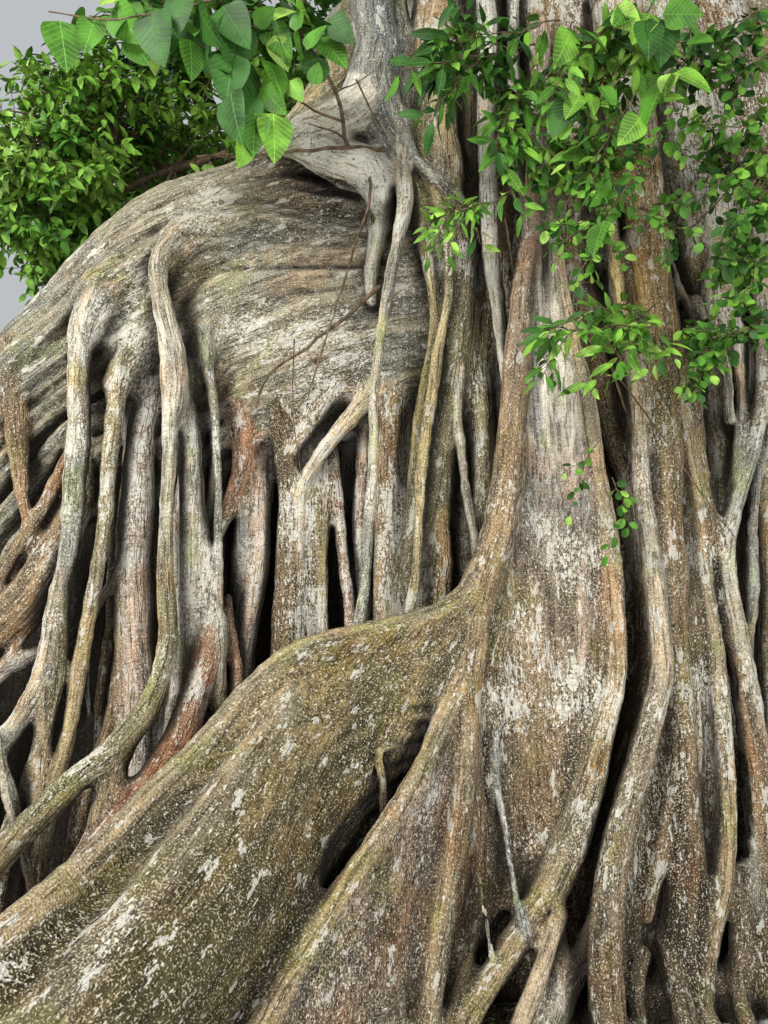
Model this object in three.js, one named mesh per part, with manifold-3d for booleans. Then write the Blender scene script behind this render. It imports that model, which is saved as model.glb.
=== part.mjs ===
// A large strangler fig tree: a trunk of fused stems on plate buttresses, a high arching buttress
// with prop roots under it, hanging roots, main boughs and a full crown in separate masses of leaves.
// Millimetres, +Z up. The origin is in the middle of the flat cut under the trunk, at ground level.
import * as THREE from "three";
import { mergeVertices } from "three/addons/utils/BufferGeometryUtils.js";
import Module from "manifold-3d";

const wasm = await Module();
wasm.setup();

// General sizes
const GAP = 0.3; // left between two nodes that meet
const BELOW = 200; // how far limbs run under the ground before the flat cut
const GROUND_SPAN = 30000; // width of the block that makes the flat cut
const GOLDEN_ANGLE = Math.PI * (3 - Math.sqrt(5));

// The trunk's solid heart, with its flare at the ground
const CORE = { top: 8500, tipRadius: 280, waist: 680, taper: 2.2, flare: 400, flareHeight: 620, lean: [150, 150] };
const CORE_SIDES = 12;
const CORE_LEVELS = [-BELOW, 150, 500, 1000, 1900, 3200, 4600, 6000, 7400, 8250, 8500];
const CORE_CAP = 0.45; // the rounded top's last ring, as a share of the radius below it

// Stems fused to the trunk. A stem runs down from its head to its foot. kick is the power with which it
// swings out to its foot, sway its sideways bow half-way down, girth its radius at head and foot,
// and wide how many times wider than deep it is.
const STEMS = [
  { head: [-80, -850, 3900], foot: [-660, -1780, -BELOW], kick: 1.8, sway: [-90, 100], girth: [75, 85] },
  { head: [-20, -800, 3900], foot: [-600, -1580, -BELOW], kick: 5, sway: [240, -60], girth: [60, 75] },
  { head: [-20, -700, 4700], foot: [-330, -1120, -BELOW], kick: 1.5, sway: [60, 0], girth: [130, 150], wide: 1.9 },
  { head: [180, -800, 3900], foot: [-110, -1500, -BELOW], kick: 4, sway: [190, -60], girth: [70, 80] },
  { head: [520, -740, 4100], foot: [790, -1150, -BELOW], kick: 2, sway: [20, 0], girth: [75, 90] },
  { head: [350, -640, 4900], foot: [400, -1040, -BELOW], kick: 1.5, sway: [20, 0], girth: [130, 150], wide: 1.5 },
  { head: [540, -300, 5200], foot: [900, -950, -BELOW], kick: 2.2, sway: [170, -170], girth: [110, 90] },
  { head: [-280, -60, 6300], foot: [-640, -330, 3150], kick: 1.2, sway: [-330, -230], girth: [170, 130] },
  { head: [-300, -250, 6300], foot: [-420, -560, 2200], kick: 1, sway: [-120, -160], girth: [150, 100] },
  { head: [-60, -330, 6300], foot: [-330, -900, -BELOW], kick: 1, sway: [-40, -130], girth: [130, 90] },
];
const STEM_SIDES = 6;
const STEM_STEPS = 6;
// More fused stems round the sides and the back, spaced evenly between two angles
const BACK_STEMS = { count: 7, from: -0.25, to: 3.75, headRadius: 560, footRadius: 1150, head: 5600, girth: [150, 130] };

// Plate buttresses. Each runs in plan from start to end with a bow, and its crest falls from height to the ground.
const BUTTRESSES = [
  { start: [-300, -900], end: [-2750, -2850], bow: -300, height: 1480, foot: 190, web: 75, crest: 70 },
  { start: [-420, -1000], end: [-1560, -2120], bow: 60, height: 1300, foot: 120, web: 60, crest: 55 },
  { start: [500, -250], end: [3500, -900], bow: -250, height: 2300, foot: 210, web: 80, crest: 75 },
  { start: [450, 300], end: [2700, 2700], bow: 300, height: 2700, foot: 210, web: 80, crest: 75 },
  { start: [100, 500], end: [-350, 3700], bow: -260, height: 2000, foot: 190, web: 75, crest: 70 },
  { start: [-350, 350], end: [-2800, 2500], bow: 260, height: 2500, foot: 210, web: 80, crest: 75 },
];
const PLATE_STEPS = 7;
const CREST_POWER = 1;

// The high arching buttress on the left: a thick slab on a thin web, with prop roots down both sides
const ARCH = { start: [-450, -300], end: [-4800, 250], bow: 100, height: 4120, foot: 230, web: 110, slab: 290, crest: 150 };
const ARCH_POWER = 0.62;
const ARCH_SHOULDER = 0.1; // share of the way before its crest begins to fall
const SLAB_FROM = 0.6; // share of the crest's height where the slab begins

// Prop roots under the arch, from left to right: head x and z, foot x and y, kick, sideways sway, radius
const PROP_ROOTS = [
  { head: [-2820, 2250], foot: [-3000, -640], kick: 1.5, sway: 90, radius: 48 },
  { head: [-2480, 2350], foot: [-2640, -760], kick: 2, sway: 120, radius: 48 },
  { head: [-2130, 2800], foot: [-2420, -820], kick: 1.4, sway: 0, radius: 54 },
  { head: [-1960, 2560], foot: [-2210, -760], kick: 1.4, sway: 0, radius: 50 },
  { head: [-1820, 2600], foot: [-1960, -640], kick: 1.2, sway: 0, radius: 60 },
  { head: [-1770, 3200], foot: [-2900, -1450], kick: 4, sway: 110, radius: 58 },
  { head: [-1560, 2850], foot: [-1580, -620], kick: 1, sway: 0, radius: 74 },
  { head: [-1290, 2950], foot: [-1330, -640], kick: 1, sway: 0, radius: 62 },
  { head: [-1080, 3000], foot: [-1110, -620], kick: 1, sway: 0, radius: 72 },
  { head: [-700, 3000], foot: [-700, -600], kick: 1, sway: 0, radius: 62 },
];
const BACK_PROPS = { count: 4, from: -1200, to: -3100, headShare: 0.72, footOut: 420, radius: 62 };
// Roots that hang from the upper stems down to the ground in front of the trunk
const HANGING_ROOTS = [
  { head: [-600, -600, 3560], foot: [-960, -800, -BELOW], kick: 1, sway: [-40, -130], girth: [34, 36] },
  { head: [-470, -560, 3450], foot: [-660, -860, -BELOW], kick: 1, sway: [30, -140], girth: [28, 32] },
];
const ROOT_SIDES = 6;
const ROOT_STEPS = 5;

// The crown. Each tier is a ring of boughs, and every bough carries one mass of leaves at its tip.
const TIERS = [
  { name: "low", count: 6, fork: 4900, turn: 0.04, reach: 5500, rise: 7500, size: [2700, 1850], girth: [300, 85] },
  { name: "middle", count: 5, fork: 6700, turn: 0.6, reach: 3400, rise: 10500, size: [2400, 1950], girth: [230, 75] },
  { name: "top", count: 4, fork: 8150, turn: 0.2, reach: 1700, rise: 13100, size: [1950, 1900], girth: [150, 60] },
];
const TIER_SEED = 41;
const BOUGH_SIDES = 6;
const BOUGH_STEPS = 5;
const BOUGH_INTO_MASS = 0.45; // share of the mass's radius that its bough enters
// Low sprays that hang round the trunk: where each is rooted in the trunk, its middle and its reach
const SPRAYS = [
  { name: "spray_front_right", root: [450, -450, 4700], middle: [520, -1500, 3300], size: [900, 620, 850], seed: 311 },
  { name: "spray_front_left", root: [-560, -250, 4650], middle: [-1300, -1130, 4150], size: [800, 480, 520], seed: 312 },
  { name: "spray_back_left", root: [-300, 300, 4700], middle: [-2900, 2300, 5000], size: [1900, 1300, 1300], seed: 313 },
];
const TWIGS = { count: 5, girth: [34, 14], out: 0.6 };
// Leaves hang over the outside of their mass. Lengths are shares of the mass's mean radius.
// A leaf that would leave its space is made shorter, down to the last of the shares in fits.
const LEAVES = { perTwig: 3, length: 0.84, width: 0.72, thickness: 0.03, along: [0.97, 0.82, 0.62], spread: [0.1, 1, 1] };
const LEAF_FITS = [1, 0.85, 0.7, 0.55];

const COLOURS = { bark: 0x9a8a70, slab: 0x8d8577, root: 0xa89b82, bough: 0x8f877a, leaf: 0x4f8a2a };

// A seeded source of numbers from 0 to 1 (the Park-Miller rule)
function randomFrom(seed) {
  let state = seed;
  return () => {
    state = (state * 16807) % 2147483647;
    return state / 2147483647;
  };
}

function lerp(a, b, t) {
  return a + (b - a) * t;
}

// A closed solid from rings of points, each ring with the same number of points
function loft(rings) {
  const sides = rings[0].length;
  const positions = rings.flat().flatMap((p) => [p.x, p.y, p.z]);
  const faces = [];
  for (let k = 0; k + 1 < rings.length; k++) {
    for (let i = 0; i < sides; i++) {
      const j = (i + 1) % sides;
      const [a, b, c, d] = [k * sides + i, k * sides + j, (k + 1) * sides + j, (k + 1) * sides + i];
      faces.push(a, b, c, a, c, d);
    }
  }
  // The end caps run as strips across the ring, so that a waisted outline stays inside itself
  const last = (rings.length - 1) * sides;
  for (let i = 0; i + 1 < sides - 1 - i; i++) {
    const j = sides - 1 - i;
    faces.push(i, j, i + 1, last + i, last + i + 1, last + j);
    if (i + 1 < j - 1) {
      faces.push(i + 1, j, j - 1, last + i + 1, last + j - 1, last + j);
    }
  }
  return solidOf(positions, faces);
}

function solidOf(positions, faces) {
  const triVerts = new Uint32Array(faces);
  const signed = volumeSign(positions, triVerts);
  if (signed < 0) {
    for (let i = 0; i < triVerts.length; i += 3) {
      [triVerts[i + 1], triVerts[i + 2]] = [triVerts[i + 2], triVerts[i + 1]];
    }
  }
  return new wasm.Manifold(
    new wasm.Mesh({ numProp: 3, vertProperties: new Float32Array(positions), triVerts }),
  );
}

function volumeSign(positions, faces) {
  const at = (i) => new THREE.Vector3(positions[3 * i], positions[3 * i + 1], positions[3 * i + 2]);
  let sum = 0;
  for (let i = 0; i < faces.length; i += 3) {
    sum += at(faces[i]).dot(at(faces[i + 1]).cross(at(faces[i + 2])));
  }
  return sum;
}

// A three.js geometry as a solid
function solidOfGeometry(geometry) {
  geometry.deleteAttribute("normal");
  geometry.deleteAttribute("uv");
  const merged = mergeVertices(geometry);
  return solidOf([...merged.getAttribute("position").array], [...merged.index.array]);
}

const underground = solidOfGeometry(
  new THREE.BoxGeometry(GROUND_SPAN, GROUND_SPAN, 4 * BELOW).translate(0, 0, -2 * BELOW),
);

function cutAtGround(solid) {
  return solid.subtract(underground);
}

// The largest of a solid's separate bodies
function largestBody(solid) {
  const bodies = solid.decompose();
  return bodies.reduce((a, b) => (b.volume() > a.volume() ? b : a));
}

// A tube along a path, grown on all sides. Its rings stand square to the path, with the wide way
// square to facing.
function tube(path, radiusAt, grow, { sides, steps, wide = 1, facing = new THREE.Vector3(0, 1, 0) }) {
  const rings = [];
  for (let k = 0; k <= steps; k++) {
    const t = k / steps;
    const along = path(Math.min(1, t + 0.01)).sub(path(Math.max(0, t - 0.01))).normalize();
    const across = new THREE.Vector3().crossVectors(along, facing).normalize();
    const out = new THREE.Vector3().crossVectors(across, along).normalize();
    const middle = path(t).addScaledVector(along, grow * endSide(k, steps));
    const radius = radiusAt(t) + grow;
    const ring = [];
    for (let i = 0; i < sides; i++) {
      const turn = (2 * Math.PI * i) / sides;
      ring.push(
        middle
          .clone()
          .addScaledVector(across, wide * radius * Math.cos(turn))
          .addScaledVector(out, radius * Math.sin(turn)),
      );
    }
    rings.push(ring);
  }
  return loft(rings);
}

// -1 at a limb's first station, 1 at its last and 0 between
function endSide(k, steps) {
  return Number(k === steps) - Number(k === 0);
}

// The line of a stem or root from its head to its foot
function stemPath({ head, foot, kick, sway }) {
  return (t) => {
    const bow = Math.sin(Math.PI * t);
    return new THREE.Vector3(
      lerp(head[0], foot[0], t ** kick) + sway[0] * bow,
      lerp(head[1], foot[1], t ** kick) + sway[1] * bow,
      lerp(head[2], foot[2], t),
    );
  };
}

function stemSolid(stem, grow, sides = STEM_SIDES, steps = STEM_STEPS) {
  const radiusAt = (t) => lerp(stem.girth[0], stem.girth[1], t);
  return tube(stemPath(stem), radiusAt, grow, { sides, steps, wide: stem.wide ?? 1 });
}

function coreCentre(z) {
  const share = Math.max(0, z) / CORE.top;
  return [CORE.lean[0] * share, CORE.lean[1] * share];
}

function coreRadius(z) {
  const taper = lerp(CORE.waist, CORE.tipRadius, (Math.max(0, z) / CORE.top) ** CORE.taper);
  return taper + CORE.flare * Math.exp(-Math.max(0, z) / CORE.flareHeight);
}

function coreSolid(grow) {
  const rings = CORE_LEVELS.map((z) => {
    const [x, y] = coreCentre(z);
    const atTop = z === CORE.top;
    const radius = coreRadius(z) * (atTop ? CORE_CAP : 1) + grow;
    const height = atTop ? z + grow : z;
    return Array.from({ length: CORE_SIDES }, (_, i) => {
      const turn = (2 * Math.PI * i) / CORE_SIDES;
      return new THREE.Vector3(x + radius * Math.cos(turn), y + radius * Math.sin(turn), height);
    });
  });
  return loft(rings);
}

function backStems() {
  const { count, from, to, headRadius, footRadius, head, girth } = BACK_STEMS;
  return Array.from({ length: count }, (_, i) => {
    const turn = lerp(from, to, i / (count - 1));
    const [c, s] = [Math.cos(turn), Math.sin(turn)];
    return {
      head: [headRadius * c + CORE.lean[0] / 2, headRadius * s + CORE.lean[1] / 2, head],
      foot: [footRadius * c, footRadius * s, -BELOW],
      kick: 2,
      sway: [60 * s, -60 * c],
      girth,
    };
  });
}

// A plate from start to end in plan, grown at both ends. sectionAt gives its outline at a share of the way
// as half-widths and heights.
function plate({ start, end, bow }, grow, sectionAt) {
  const along = new THREE.Vector2(end[0] - start[0], end[1] - start[1]);
  const square = new THREE.Vector2(-along.y, along.x).normalize();
  const at = (s) =>
    new THREE.Vector2(...start).addScaledVector(along, s).addScaledVector(square, bow * Math.sin(Math.PI * s));
  const rings = [];
  for (let k = 0; k <= PLATE_STEPS; k++) {
    const s = k / PLATE_STEPS;
    const way = at(Math.min(1, s + 0.01)).sub(at(Math.max(0, s - 0.01))).normalize();
    const section = sectionAt(s);
    const outline = [...section, ...section.map(([half, z]) => [-half, z]).reverse()];
    const p = at(s).addScaledVector(way, grow * endSide(k, PLATE_STEPS));
    rings.push(outline.map(([u, z]) => new THREE.Vector3(p.x - way.y * u, p.y + way.x * u, z)));
  }
  return loft(rings);
}

function crestHeight(height, s, power) {
  return height * (0.5 + 0.5 * Math.cos(Math.PI * s)) ** power;
}

function archCrest(s) {
  return crestHeight(ARCH.height, Math.max(0, (s - ARCH_SHOULDER) / (1 - ARCH_SHOULDER)), ARCH_POWER);
}

function buttressSolid(b, grow) {
  return plate(b, grow, (s) => {
    const crest = crestHeight(b.height, s, CREST_POWER) + grow;
    return [
      [b.foot + grow, -BELOW],
      [b.foot * 0.8 + grow, 0.02 * crest],
      [b.web + grow, 0.4 * crest],
      [b.crest + grow, 0.9 * crest],
      [b.crest * 0.5 + grow, crest],
    ];
  });
}

function archSolid(grow) {
  return cutAtGround(
    plate(ARCH, grow, (s) => {
      const crest = archCrest(s) + grow;
      return [
        [ARCH.foot + grow, -BELOW],
        [ARCH.foot * 0.8 + grow, 0.02 * crest],
        [ARCH.web + grow, 0.3 * crest],
        [ARCH.web + grow, (SLAB_FROM - 0.04) * crest],
        [ARCH.slab + grow, (SLAB_FROM + 0.08) * crest],
        [ARCH.slab * 0.9 + grow, 0.86 * crest],
        [ARCH.crest + grow, 0.97 * crest],
        [ARCH.crest * 0.4 + grow, crest],
      ];
    }),
  );
}

function trunkSolid(grow) {
  const limbs = [
    coreSolid(grow),
    ...STEMS.map((s) => stemSolid(s, grow)),
    ...backStems().map((s) => stemSolid(s, grow)),
    ...BUTTRESSES.map((b) => buttressSolid(b, grow)),
  ];
  return cutAtGround(limbs.reduce((all, limb) => all.add(limb)));
}

// How far along the arch a given x is, and the y of the arch's middle line there
function archMiddle(x) {
  const share = (x - ARCH.start[0]) / (ARCH.end[0] - ARCH.start[0]);
  return { share, y: lerp(ARCH.start[1], ARCH.end[1], share) - ARCH.bow * Math.sin(Math.PI * share) };
}

function propRoots() {
  return PROP_ROOTS.map(({ head, foot, kick, sway, radius }) => ({
    head: [head[0], archMiddle(head[0]).y - ARCH.slab, head[1]],
    foot: [foot[0], foot[1], -BELOW],
    kick,
    sway: [sway, -60],
    girth: [radius, radius * 1.15],
  }));
}

function backProps() {
  const { count, from, to, headShare, footOut, radius } = BACK_PROPS;
  return Array.from({ length: count }, (_, i) => {
    const x = lerp(from, to, i / (count - 1));
    const { share, y } = archMiddle(x);
    return {
      head: [x, y + ARCH.slab, headShare * archCrest(share)],
      foot: [x - 120, y + ARCH.slab + footOut, -BELOW],
      kick: 1.4,
      sway: [i % 2 ? 60 : -60, 60],
      girth: [radius, radius * 1.15],
    };
  });
}

// The boughs and the masses of leaves at their tips, ring by ring
function crown() {
  const next = randomFrom(TIER_SEED);
  const boughs = [];
  const masses = [];
  TIERS.forEach((tier, level) => {
    for (let i = 0; i < tier.count; i++) {
      const turn = tier.turn + (2 * Math.PI * (i + 0.25 * (next() - 0.5))) / tier.count;
      const reach = tier.reach * (1 + 0.16 * (next() - 0.5));
      const rise = tier.rise + 700 * (next() - 0.5);
      const fork = tier.fork + 500 * (next() - 0.5);
      const [c, s] = [Math.cos(turn), Math.sin(turn)];
      const [x, y] = coreCentre(fork);
      const middle = [x + reach * c, y + reach * s, rise];
      const tip = reach - tier.size[0] * (1 - BOUGH_INTO_MASS);
      boughs.push({
        name: `bough_${tier.name}_${i + 1}`,
        start: [x, y, fork],
        end: [x + tip * c, y + tip * s, lerp(fork, rise, 0.86)],
        bow: [-s * 260 * (next() - 0.5), c * 260 * (next() - 0.5), 260],
        girth: tier.girth,
      });
      masses.push({
        name: `leaves_${tier.name}_${i + 1}`,
        middle,
        size: [tier.size[0], tier.size[0], tier.size[1]],
        bough: boughs.at(-1),
        seed: 100 * (level + 1) + 7 * i + 3,
      });
    }
  });
  return { boughs, masses };
}

function boughPath({ start, end, bow }) {
  return (t) =>
    new THREE.Vector3(
      lerp(start[0], end[0], t) + bow[0] * Math.sin(2 * Math.PI * t),
      lerp(start[1], end[1], t) + bow[1] * Math.sin(2 * Math.PI * t),
      lerp(start[2], end[2], t ** 0.85) + bow[2] * Math.sin(Math.PI * t),
    );
}

function boughSolid(bough, grow) {
  const radiusAt = (t) => lerp(bough.girth[0], bough.girth[1], t ** 0.8);
  const facing = new THREE.Vector3(bough.end[1] - bough.start[1], bough.start[0] - bough.end[0], 0).normalize();
  return tube(boughPath(bough), radiusAt, grow, { sides: BOUGH_SIDES, steps: BOUGH_STEPS, facing });
}

// How far out a point is in a mass: 0 in its middle and 1 on the outside of its space
function outness(mass, p) {
  return Math.hypot(...[p.x, p.y, p.z].map((v, i) => (v - mass.middle[i]) / mass.size[i]));
}

// True if the point is in this mass's own space: inside its outline, and deeper in it than in any other mass
function isOwn(mass, p, masses) {
  const own = outness(mass, p);
  return own < 1.02 && masses.every((other) => other === mass || outness(other, p) > own + 0.05);
}

// Twigs are three-sided, with their foot at the start
function twigSolid(from, to, girth) {
  const along = to.clone().sub(from).normalize();
  const across = new THREE.Vector3().crossVectors(along, new THREE.Vector3(0.3, 0.2, 1)).normalize();
  const out = new THREE.Vector3().crossVectors(along, across);
  const ring = (at, radius) =>
    [0, 1, 2].map((i) =>
      at
        .clone()
        .addScaledVector(across, radius * Math.cos((2 * Math.PI * i) / 3))
        .addScaledVector(out, radius * Math.sin((2 * Math.PI * i) / 3)),
    );
  return loft([ring(from, girth[0]), ring(to, girth[1])]);
}

// A leaf is a flat diamond of eight faces, widest before its middle
function leafSolid(base, along, face, length) {
  const across = new THREE.Vector3().crossVectors(along, face).normalize();
  const up = new THREE.Vector3().crossVectors(across, along).normalize();
  const at = (l, w, h) =>
    base.clone().addScaledVector(along, l * length).addScaledVector(across, w * length).addScaledVector(up, h * length);
  const half = LEAVES.width / 2;
  const thick = LEAVES.thickness / 2;
  const corners = [at(0, 0, 0), at(0.42, half, 0), at(1, 0, 0), at(0.42, -half, 0), at(0.4, 0, thick), at(0.4, 0, -thick)];
  const faces = [0, 1, 4, 1, 2, 4, 2, 3, 4, 3, 0, 4, 1, 0, 5, 2, 1, 5, 3, 2, 5, 0, 3, 5];
  return solidOf(corners.flatMap((p) => [p.x, p.y, p.z]), faces);
}

// The twigs of a mass: each runs from the stem towards its own part of the outline
function twigsOf(mass, stem) {
  const next = randomFrom(mass.seed);
  const phase = 2 * Math.PI * next();
  return Array.from({ length: TWIGS.count }, (_, i) => {
    const level = 1 - (2 * (i + 0.5)) / TWIGS.count;
    const turn = phase + i * GOLDEN_ANGLE;
    const flat = Math.sqrt(1 - level * level);
    const way = new THREE.Vector3(flat * Math.cos(turn), flat * Math.sin(turn), level);
    const tip = new THREE.Vector3(...mass.middle.map((m, k) => m + TWIGS.out * mass.size[k] * way.getComponent(k)));
    const from = stem.from.clone().lerp(stem.to, 0.3 + 0.65 * next());
    return { from, tip, way, draws: Array.from({ length: 2 * LEAVES.perTwig }, next) };
  });
}

// The leaves on one twig, largest at its tip
function leavesOf(mass, twig) {
  const length = LEAVES.length * Math.cbrt(mass.size[0] * mass.size[1] * mass.size[2]);
  const sideways = new THREE.Vector3().crossVectors(twig.way, new THREE.Vector3(0, 0, 1)).normalize();
  return LEAVES.along.map((share, j) => {
    const side = j % 2 ? 1 : -1;
    const base = twig.from.clone().lerp(twig.tip, share);
    const along = twig.way
      .clone()
      .multiplyScalar(0.45)
      .addScaledVector(sideways, side * LEAVES.spread[j])
      .add(new THREE.Vector3(0, 0, -0.3 - 0.5 * twig.draws[2 * j]))
      .normalize();
    const face = twig.way.clone().add(new THREE.Vector3(0, 0, 0.1 + 0.4 * twig.draws[2 * j + 1])).normalize();
    return { base, along, face, length };
  });
}

// Everything placed so far, each with a copy grown by the gap to cut what meets it
const placed = [];

function overlaps(a, b) {
  const [p, q] = [a.boundingBox(), b.boundingBox()];
  return [0, 1, 2].every((i) => p.min[i] <= q.max[i] && q.min[i] <= p.max[i]);
}

function place(name, make, colour) {
  let solid = make(0);
  for (const other of placed) {
    if (overlaps(solid, other.grown)) {
      solid = solid.subtract(other.grown);
    }
  }
  placed.push({ name, solid: largestBody(solid), grown: make(GAP), colour });
}

function meetsAny(solid, others) {
  return others.some((other) => overlaps(solid, other) && !solid.intersect(other).isEmpty());
}

function meetsPlaced(solid) {
  return meetsAny(solid, placed.map((p) => p.solid));
}

// The longest of a leaf's lengths that keeps it in its mass's own space, clear of everything placed and
// clear of the mass's other leaves
function fittingLeaf(mass, { base, along, face, length }, masses, blades) {
  for (const fit of LEAF_FITS) {
    const end = base.clone().addScaledVector(along, fit * length);
    if (isOwn(mass, end, masses)) {
      const blade = leafSolid(base, along, face, fit * length);
      if (!meetsAny(blade, blades) && !meetsPlaced(blade)) {
        return blade;
      }
    }
  }
  return null;
}

// A mass: its stem goes on from the bough's tip or out of the trunk, and twigs and leaves are fused to it
function placeMass(mass, masses) {
  const middle = new THREE.Vector3(...mass.middle);
  const tip = mass.bough ? boughPath(mass.bough)(1) : new THREE.Vector3(...mass.root);
  const before = mass.bough ? boughPath(mass.bough)(0.98) : tip.clone();
  const from = tip.clone().addScaledVector(tip.clone().sub(before).normalize(), GAP);
  const stem = { from, to: from.clone().lerp(middle, 1.15) };
  const stemGirth = [mass.bough ? mass.bough.girth[1] * 0.8 : 40, 14];
  let solid = twigSolid(stem.from, stem.to, stemGirth);
  for (const other of placed) {
    if (overlaps(solid, other.grown)) {
      solid = solid.subtract(other.grown);
    }
  }
  solid = largestBody(solid);
  const blades = [];
  for (const twig of twigsOf(mass, stem)) {
    const wood = twigSolid(twig.from, twig.tip, TWIGS.girth);
    if (!isOwn(mass, twig.tip, masses) || meetsPlaced(wood)) {
      continue;
    }
    solid = solid.add(wood);
    for (const leaf of leavesOf(mass, twig)) {
      const blade = fittingLeaf(mass, leaf, masses, blades);
      if (blade) {
        blades.push(blade);
        solid = solid.add(blade);
      }
    }
  }
  placed.push({ name: mass.name, solid: largestBody(solid), grown: solid, colour: COLOURS.leaf });
}

place("trunk", trunkSolid, COLOURS.bark);
place("arch_buttress", archSolid, COLOURS.slab);
propRoots().forEach((root, i) => {
  place(`prop_root_${i + 1}`, (grow) => cutAtGround(stemSolid(root, grow, ROOT_SIDES, ROOT_STEPS)), COLOURS.root);
});
backProps().forEach((root, i) => {
  place(`back_prop_root_${i + 1}`, (grow) => cutAtGround(stemSolid(root, grow, ROOT_SIDES, ROOT_STEPS)), COLOURS.root);
});
HANGING_ROOTS.forEach((root, i) => {
  place(`hanging_root_${i + 1}`, (grow) => cutAtGround(stemSolid(root, grow, ROOT_SIDES, ROOT_STEPS)), COLOURS.root);
});
const { boughs, masses } = crown();
for (const bough of boughs) {
  place(bough.name, (grow) => boughSolid(bough, grow), COLOURS.bough);
}
const allMasses = [...masses, ...SPRAYS];
for (const mass of allMasses) {
  placeMass(mass, allMasses);
}

// A solid as a three.js mesh
function meshOf({ name, solid, colour }) {
  const { vertProperties, triVerts, numProp } = solid.getMesh();
  const positions = [];
  for (const v of triVerts) {
    positions.push(...vertProperties.subarray(v * numProp, v * numProp + 3));
  }
  const geometry = new THREE.BufferGeometry();
  geometry.setAttribute("position", new THREE.Float32BufferAttribute(positions, 3));
  geometry.computeVertexNormals();
  const material = new THREE.MeshStandardMaterial({ color: colour, roughness: 0.9, metalness: 0 });
  const mesh = new THREE.Mesh(geometry, material);
  mesh.name = name;
  return mesh;
}

const tree = new THREE.Group();
tree.name = "strangler_fig_tree";
for (const part of placed) {
  tree.add(meshOf(part));
}

export default tree;
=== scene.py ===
"""The looks of a large strangler fig tree on plate buttresses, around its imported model.

The bark is one distance field of limbs, plates and core, turned into meshes with relief. The crown grows
by the source's rule, carried on to finer twigs, shoots and leaves. Metres, +Z up, as the frame is.
"""

import math

import bpy
import numpy as np
import openvdb
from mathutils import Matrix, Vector


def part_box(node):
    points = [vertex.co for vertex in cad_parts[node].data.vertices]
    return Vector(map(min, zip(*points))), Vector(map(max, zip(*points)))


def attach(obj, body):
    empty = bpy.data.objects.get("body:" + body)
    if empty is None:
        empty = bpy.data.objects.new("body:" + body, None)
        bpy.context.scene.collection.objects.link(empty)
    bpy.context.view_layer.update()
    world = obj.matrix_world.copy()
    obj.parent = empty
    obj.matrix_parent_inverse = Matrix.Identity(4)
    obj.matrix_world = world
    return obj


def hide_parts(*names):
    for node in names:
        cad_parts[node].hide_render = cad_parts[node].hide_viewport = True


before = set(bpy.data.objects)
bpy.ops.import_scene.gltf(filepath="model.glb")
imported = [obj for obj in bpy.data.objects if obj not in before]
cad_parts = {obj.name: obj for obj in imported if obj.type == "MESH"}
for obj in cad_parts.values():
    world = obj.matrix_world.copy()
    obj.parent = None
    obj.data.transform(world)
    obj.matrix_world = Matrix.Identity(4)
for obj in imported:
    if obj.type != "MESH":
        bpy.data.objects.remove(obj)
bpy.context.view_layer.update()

# The camera stands in front, a little left, and looks slightly up
CAMERA_PLACE = (-0.74, -4.26, 1.6)
CAMERA_PITCH = math.radians(5.3)
CAMERA_LENS = 28.1
CAMERA_SENSOR = 36.0

# The distance fields: a fine one for the front and a coarse one for the whole tree
FINE_VOXEL = 0.0145
COARSE_VOXEL = 0.03
FINE_LOW, FINE_HIGH = (-3.3, -3.1, 0.0), (1.45, 0.10, 4.85)
COARSE_LOW, COARSE_HIGH = (-5.1, -3.2, 0.0), (4.4, 4.4, 12.9)
FILLET = 0.045  # how far limbs run into each other where they meet
SLAB_FILLET = 0.15  # the same where roots run out of the arch's slab
SLAB_FILLET_LEVELS = (2.25, 3.0)
BOUGH_FILLET = 0.12
WIDE_FILLETS = {"stem 1 flare": 0.07, "stem 1": 0.08, "buttress 1 ridge": 0.10, "buttress 1 swell": 0.14,
                "buttress 1 face": 0.13, "low wall": 0.08}
HOLLOW_REACHES = ((0.04, 0.40), (0.10, 0.40), (0.20, 0.20))  # how far from the bark open air is looked for, and each reach's weight, for the painted shade (partly dirt) in hollows
CAVITY_REACH = 0.04  # over which creases and ridges are told from their surroundings, for painted shade in creases and painted light on ridges
LUMP_SIZE, LUMP_HEIGHT = 0.055, 0.008  # lumps of the bark
RIDGE_SCALE, RIDGE_HEIGHT = (20.0, 20.0, 2.6), 0.012  # ridges along the limbs
BROAD = (13.0, 13.0, 1.6)  # scale of the broad streaks, across and along
SEAM = 0.02  # how far the coarse mesh runs on inside the fine one
PIECE_LIMIT = 180_000  # triangles in one piece

# The trunk's heart and the plates, as in the source
CORE = dict(top=8.5, tip=0.28, waist=0.68, taper=2.2, flare=0.40, flare_height=0.62, lean=(0.15, 0.15))
ARCH = dict(start=(-0.45, -0.30), end=(-4.8, 0.25), bow=0.10, height=4.12, power=0.62, shoulder=0.10)
ARCH_DIP = dict(deep=0.19, share=0.24, width=0.08)  # where its crest sags beside the first stem
ARCH_SLAB = dict(thick=0.25, web=0.07, web_back=0.14, low_edge=0.62, foot=0.20)
SLAB_FOLDS = ((0.150, 0.105), (0.065, 0.045))  # spacing and height of the slab's folds, coarse and fine
SLAB_HEART = (-0.25, 0.05)  # the folds run round this x and z
BACK_PLATES = [
    dict(start=(0.50, -0.25), end=(3.5, -0.9), bow=-0.25, height=2.3, foot=0.21, seed=1),
    dict(start=(0.45, 0.30), end=(2.7, 2.7), bow=0.30, height=2.7, foot=0.21, seed=2),
    dict(start=(0.10, 0.50), end=(-0.35, 3.7), bow=-0.26, height=2.0, foot=0.19, seed=3),
    dict(start=(-0.35, 0.35), end=(-2.8, 2.5), bow=0.26, height=2.5, foot=0.21, seed=4),
]

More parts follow.
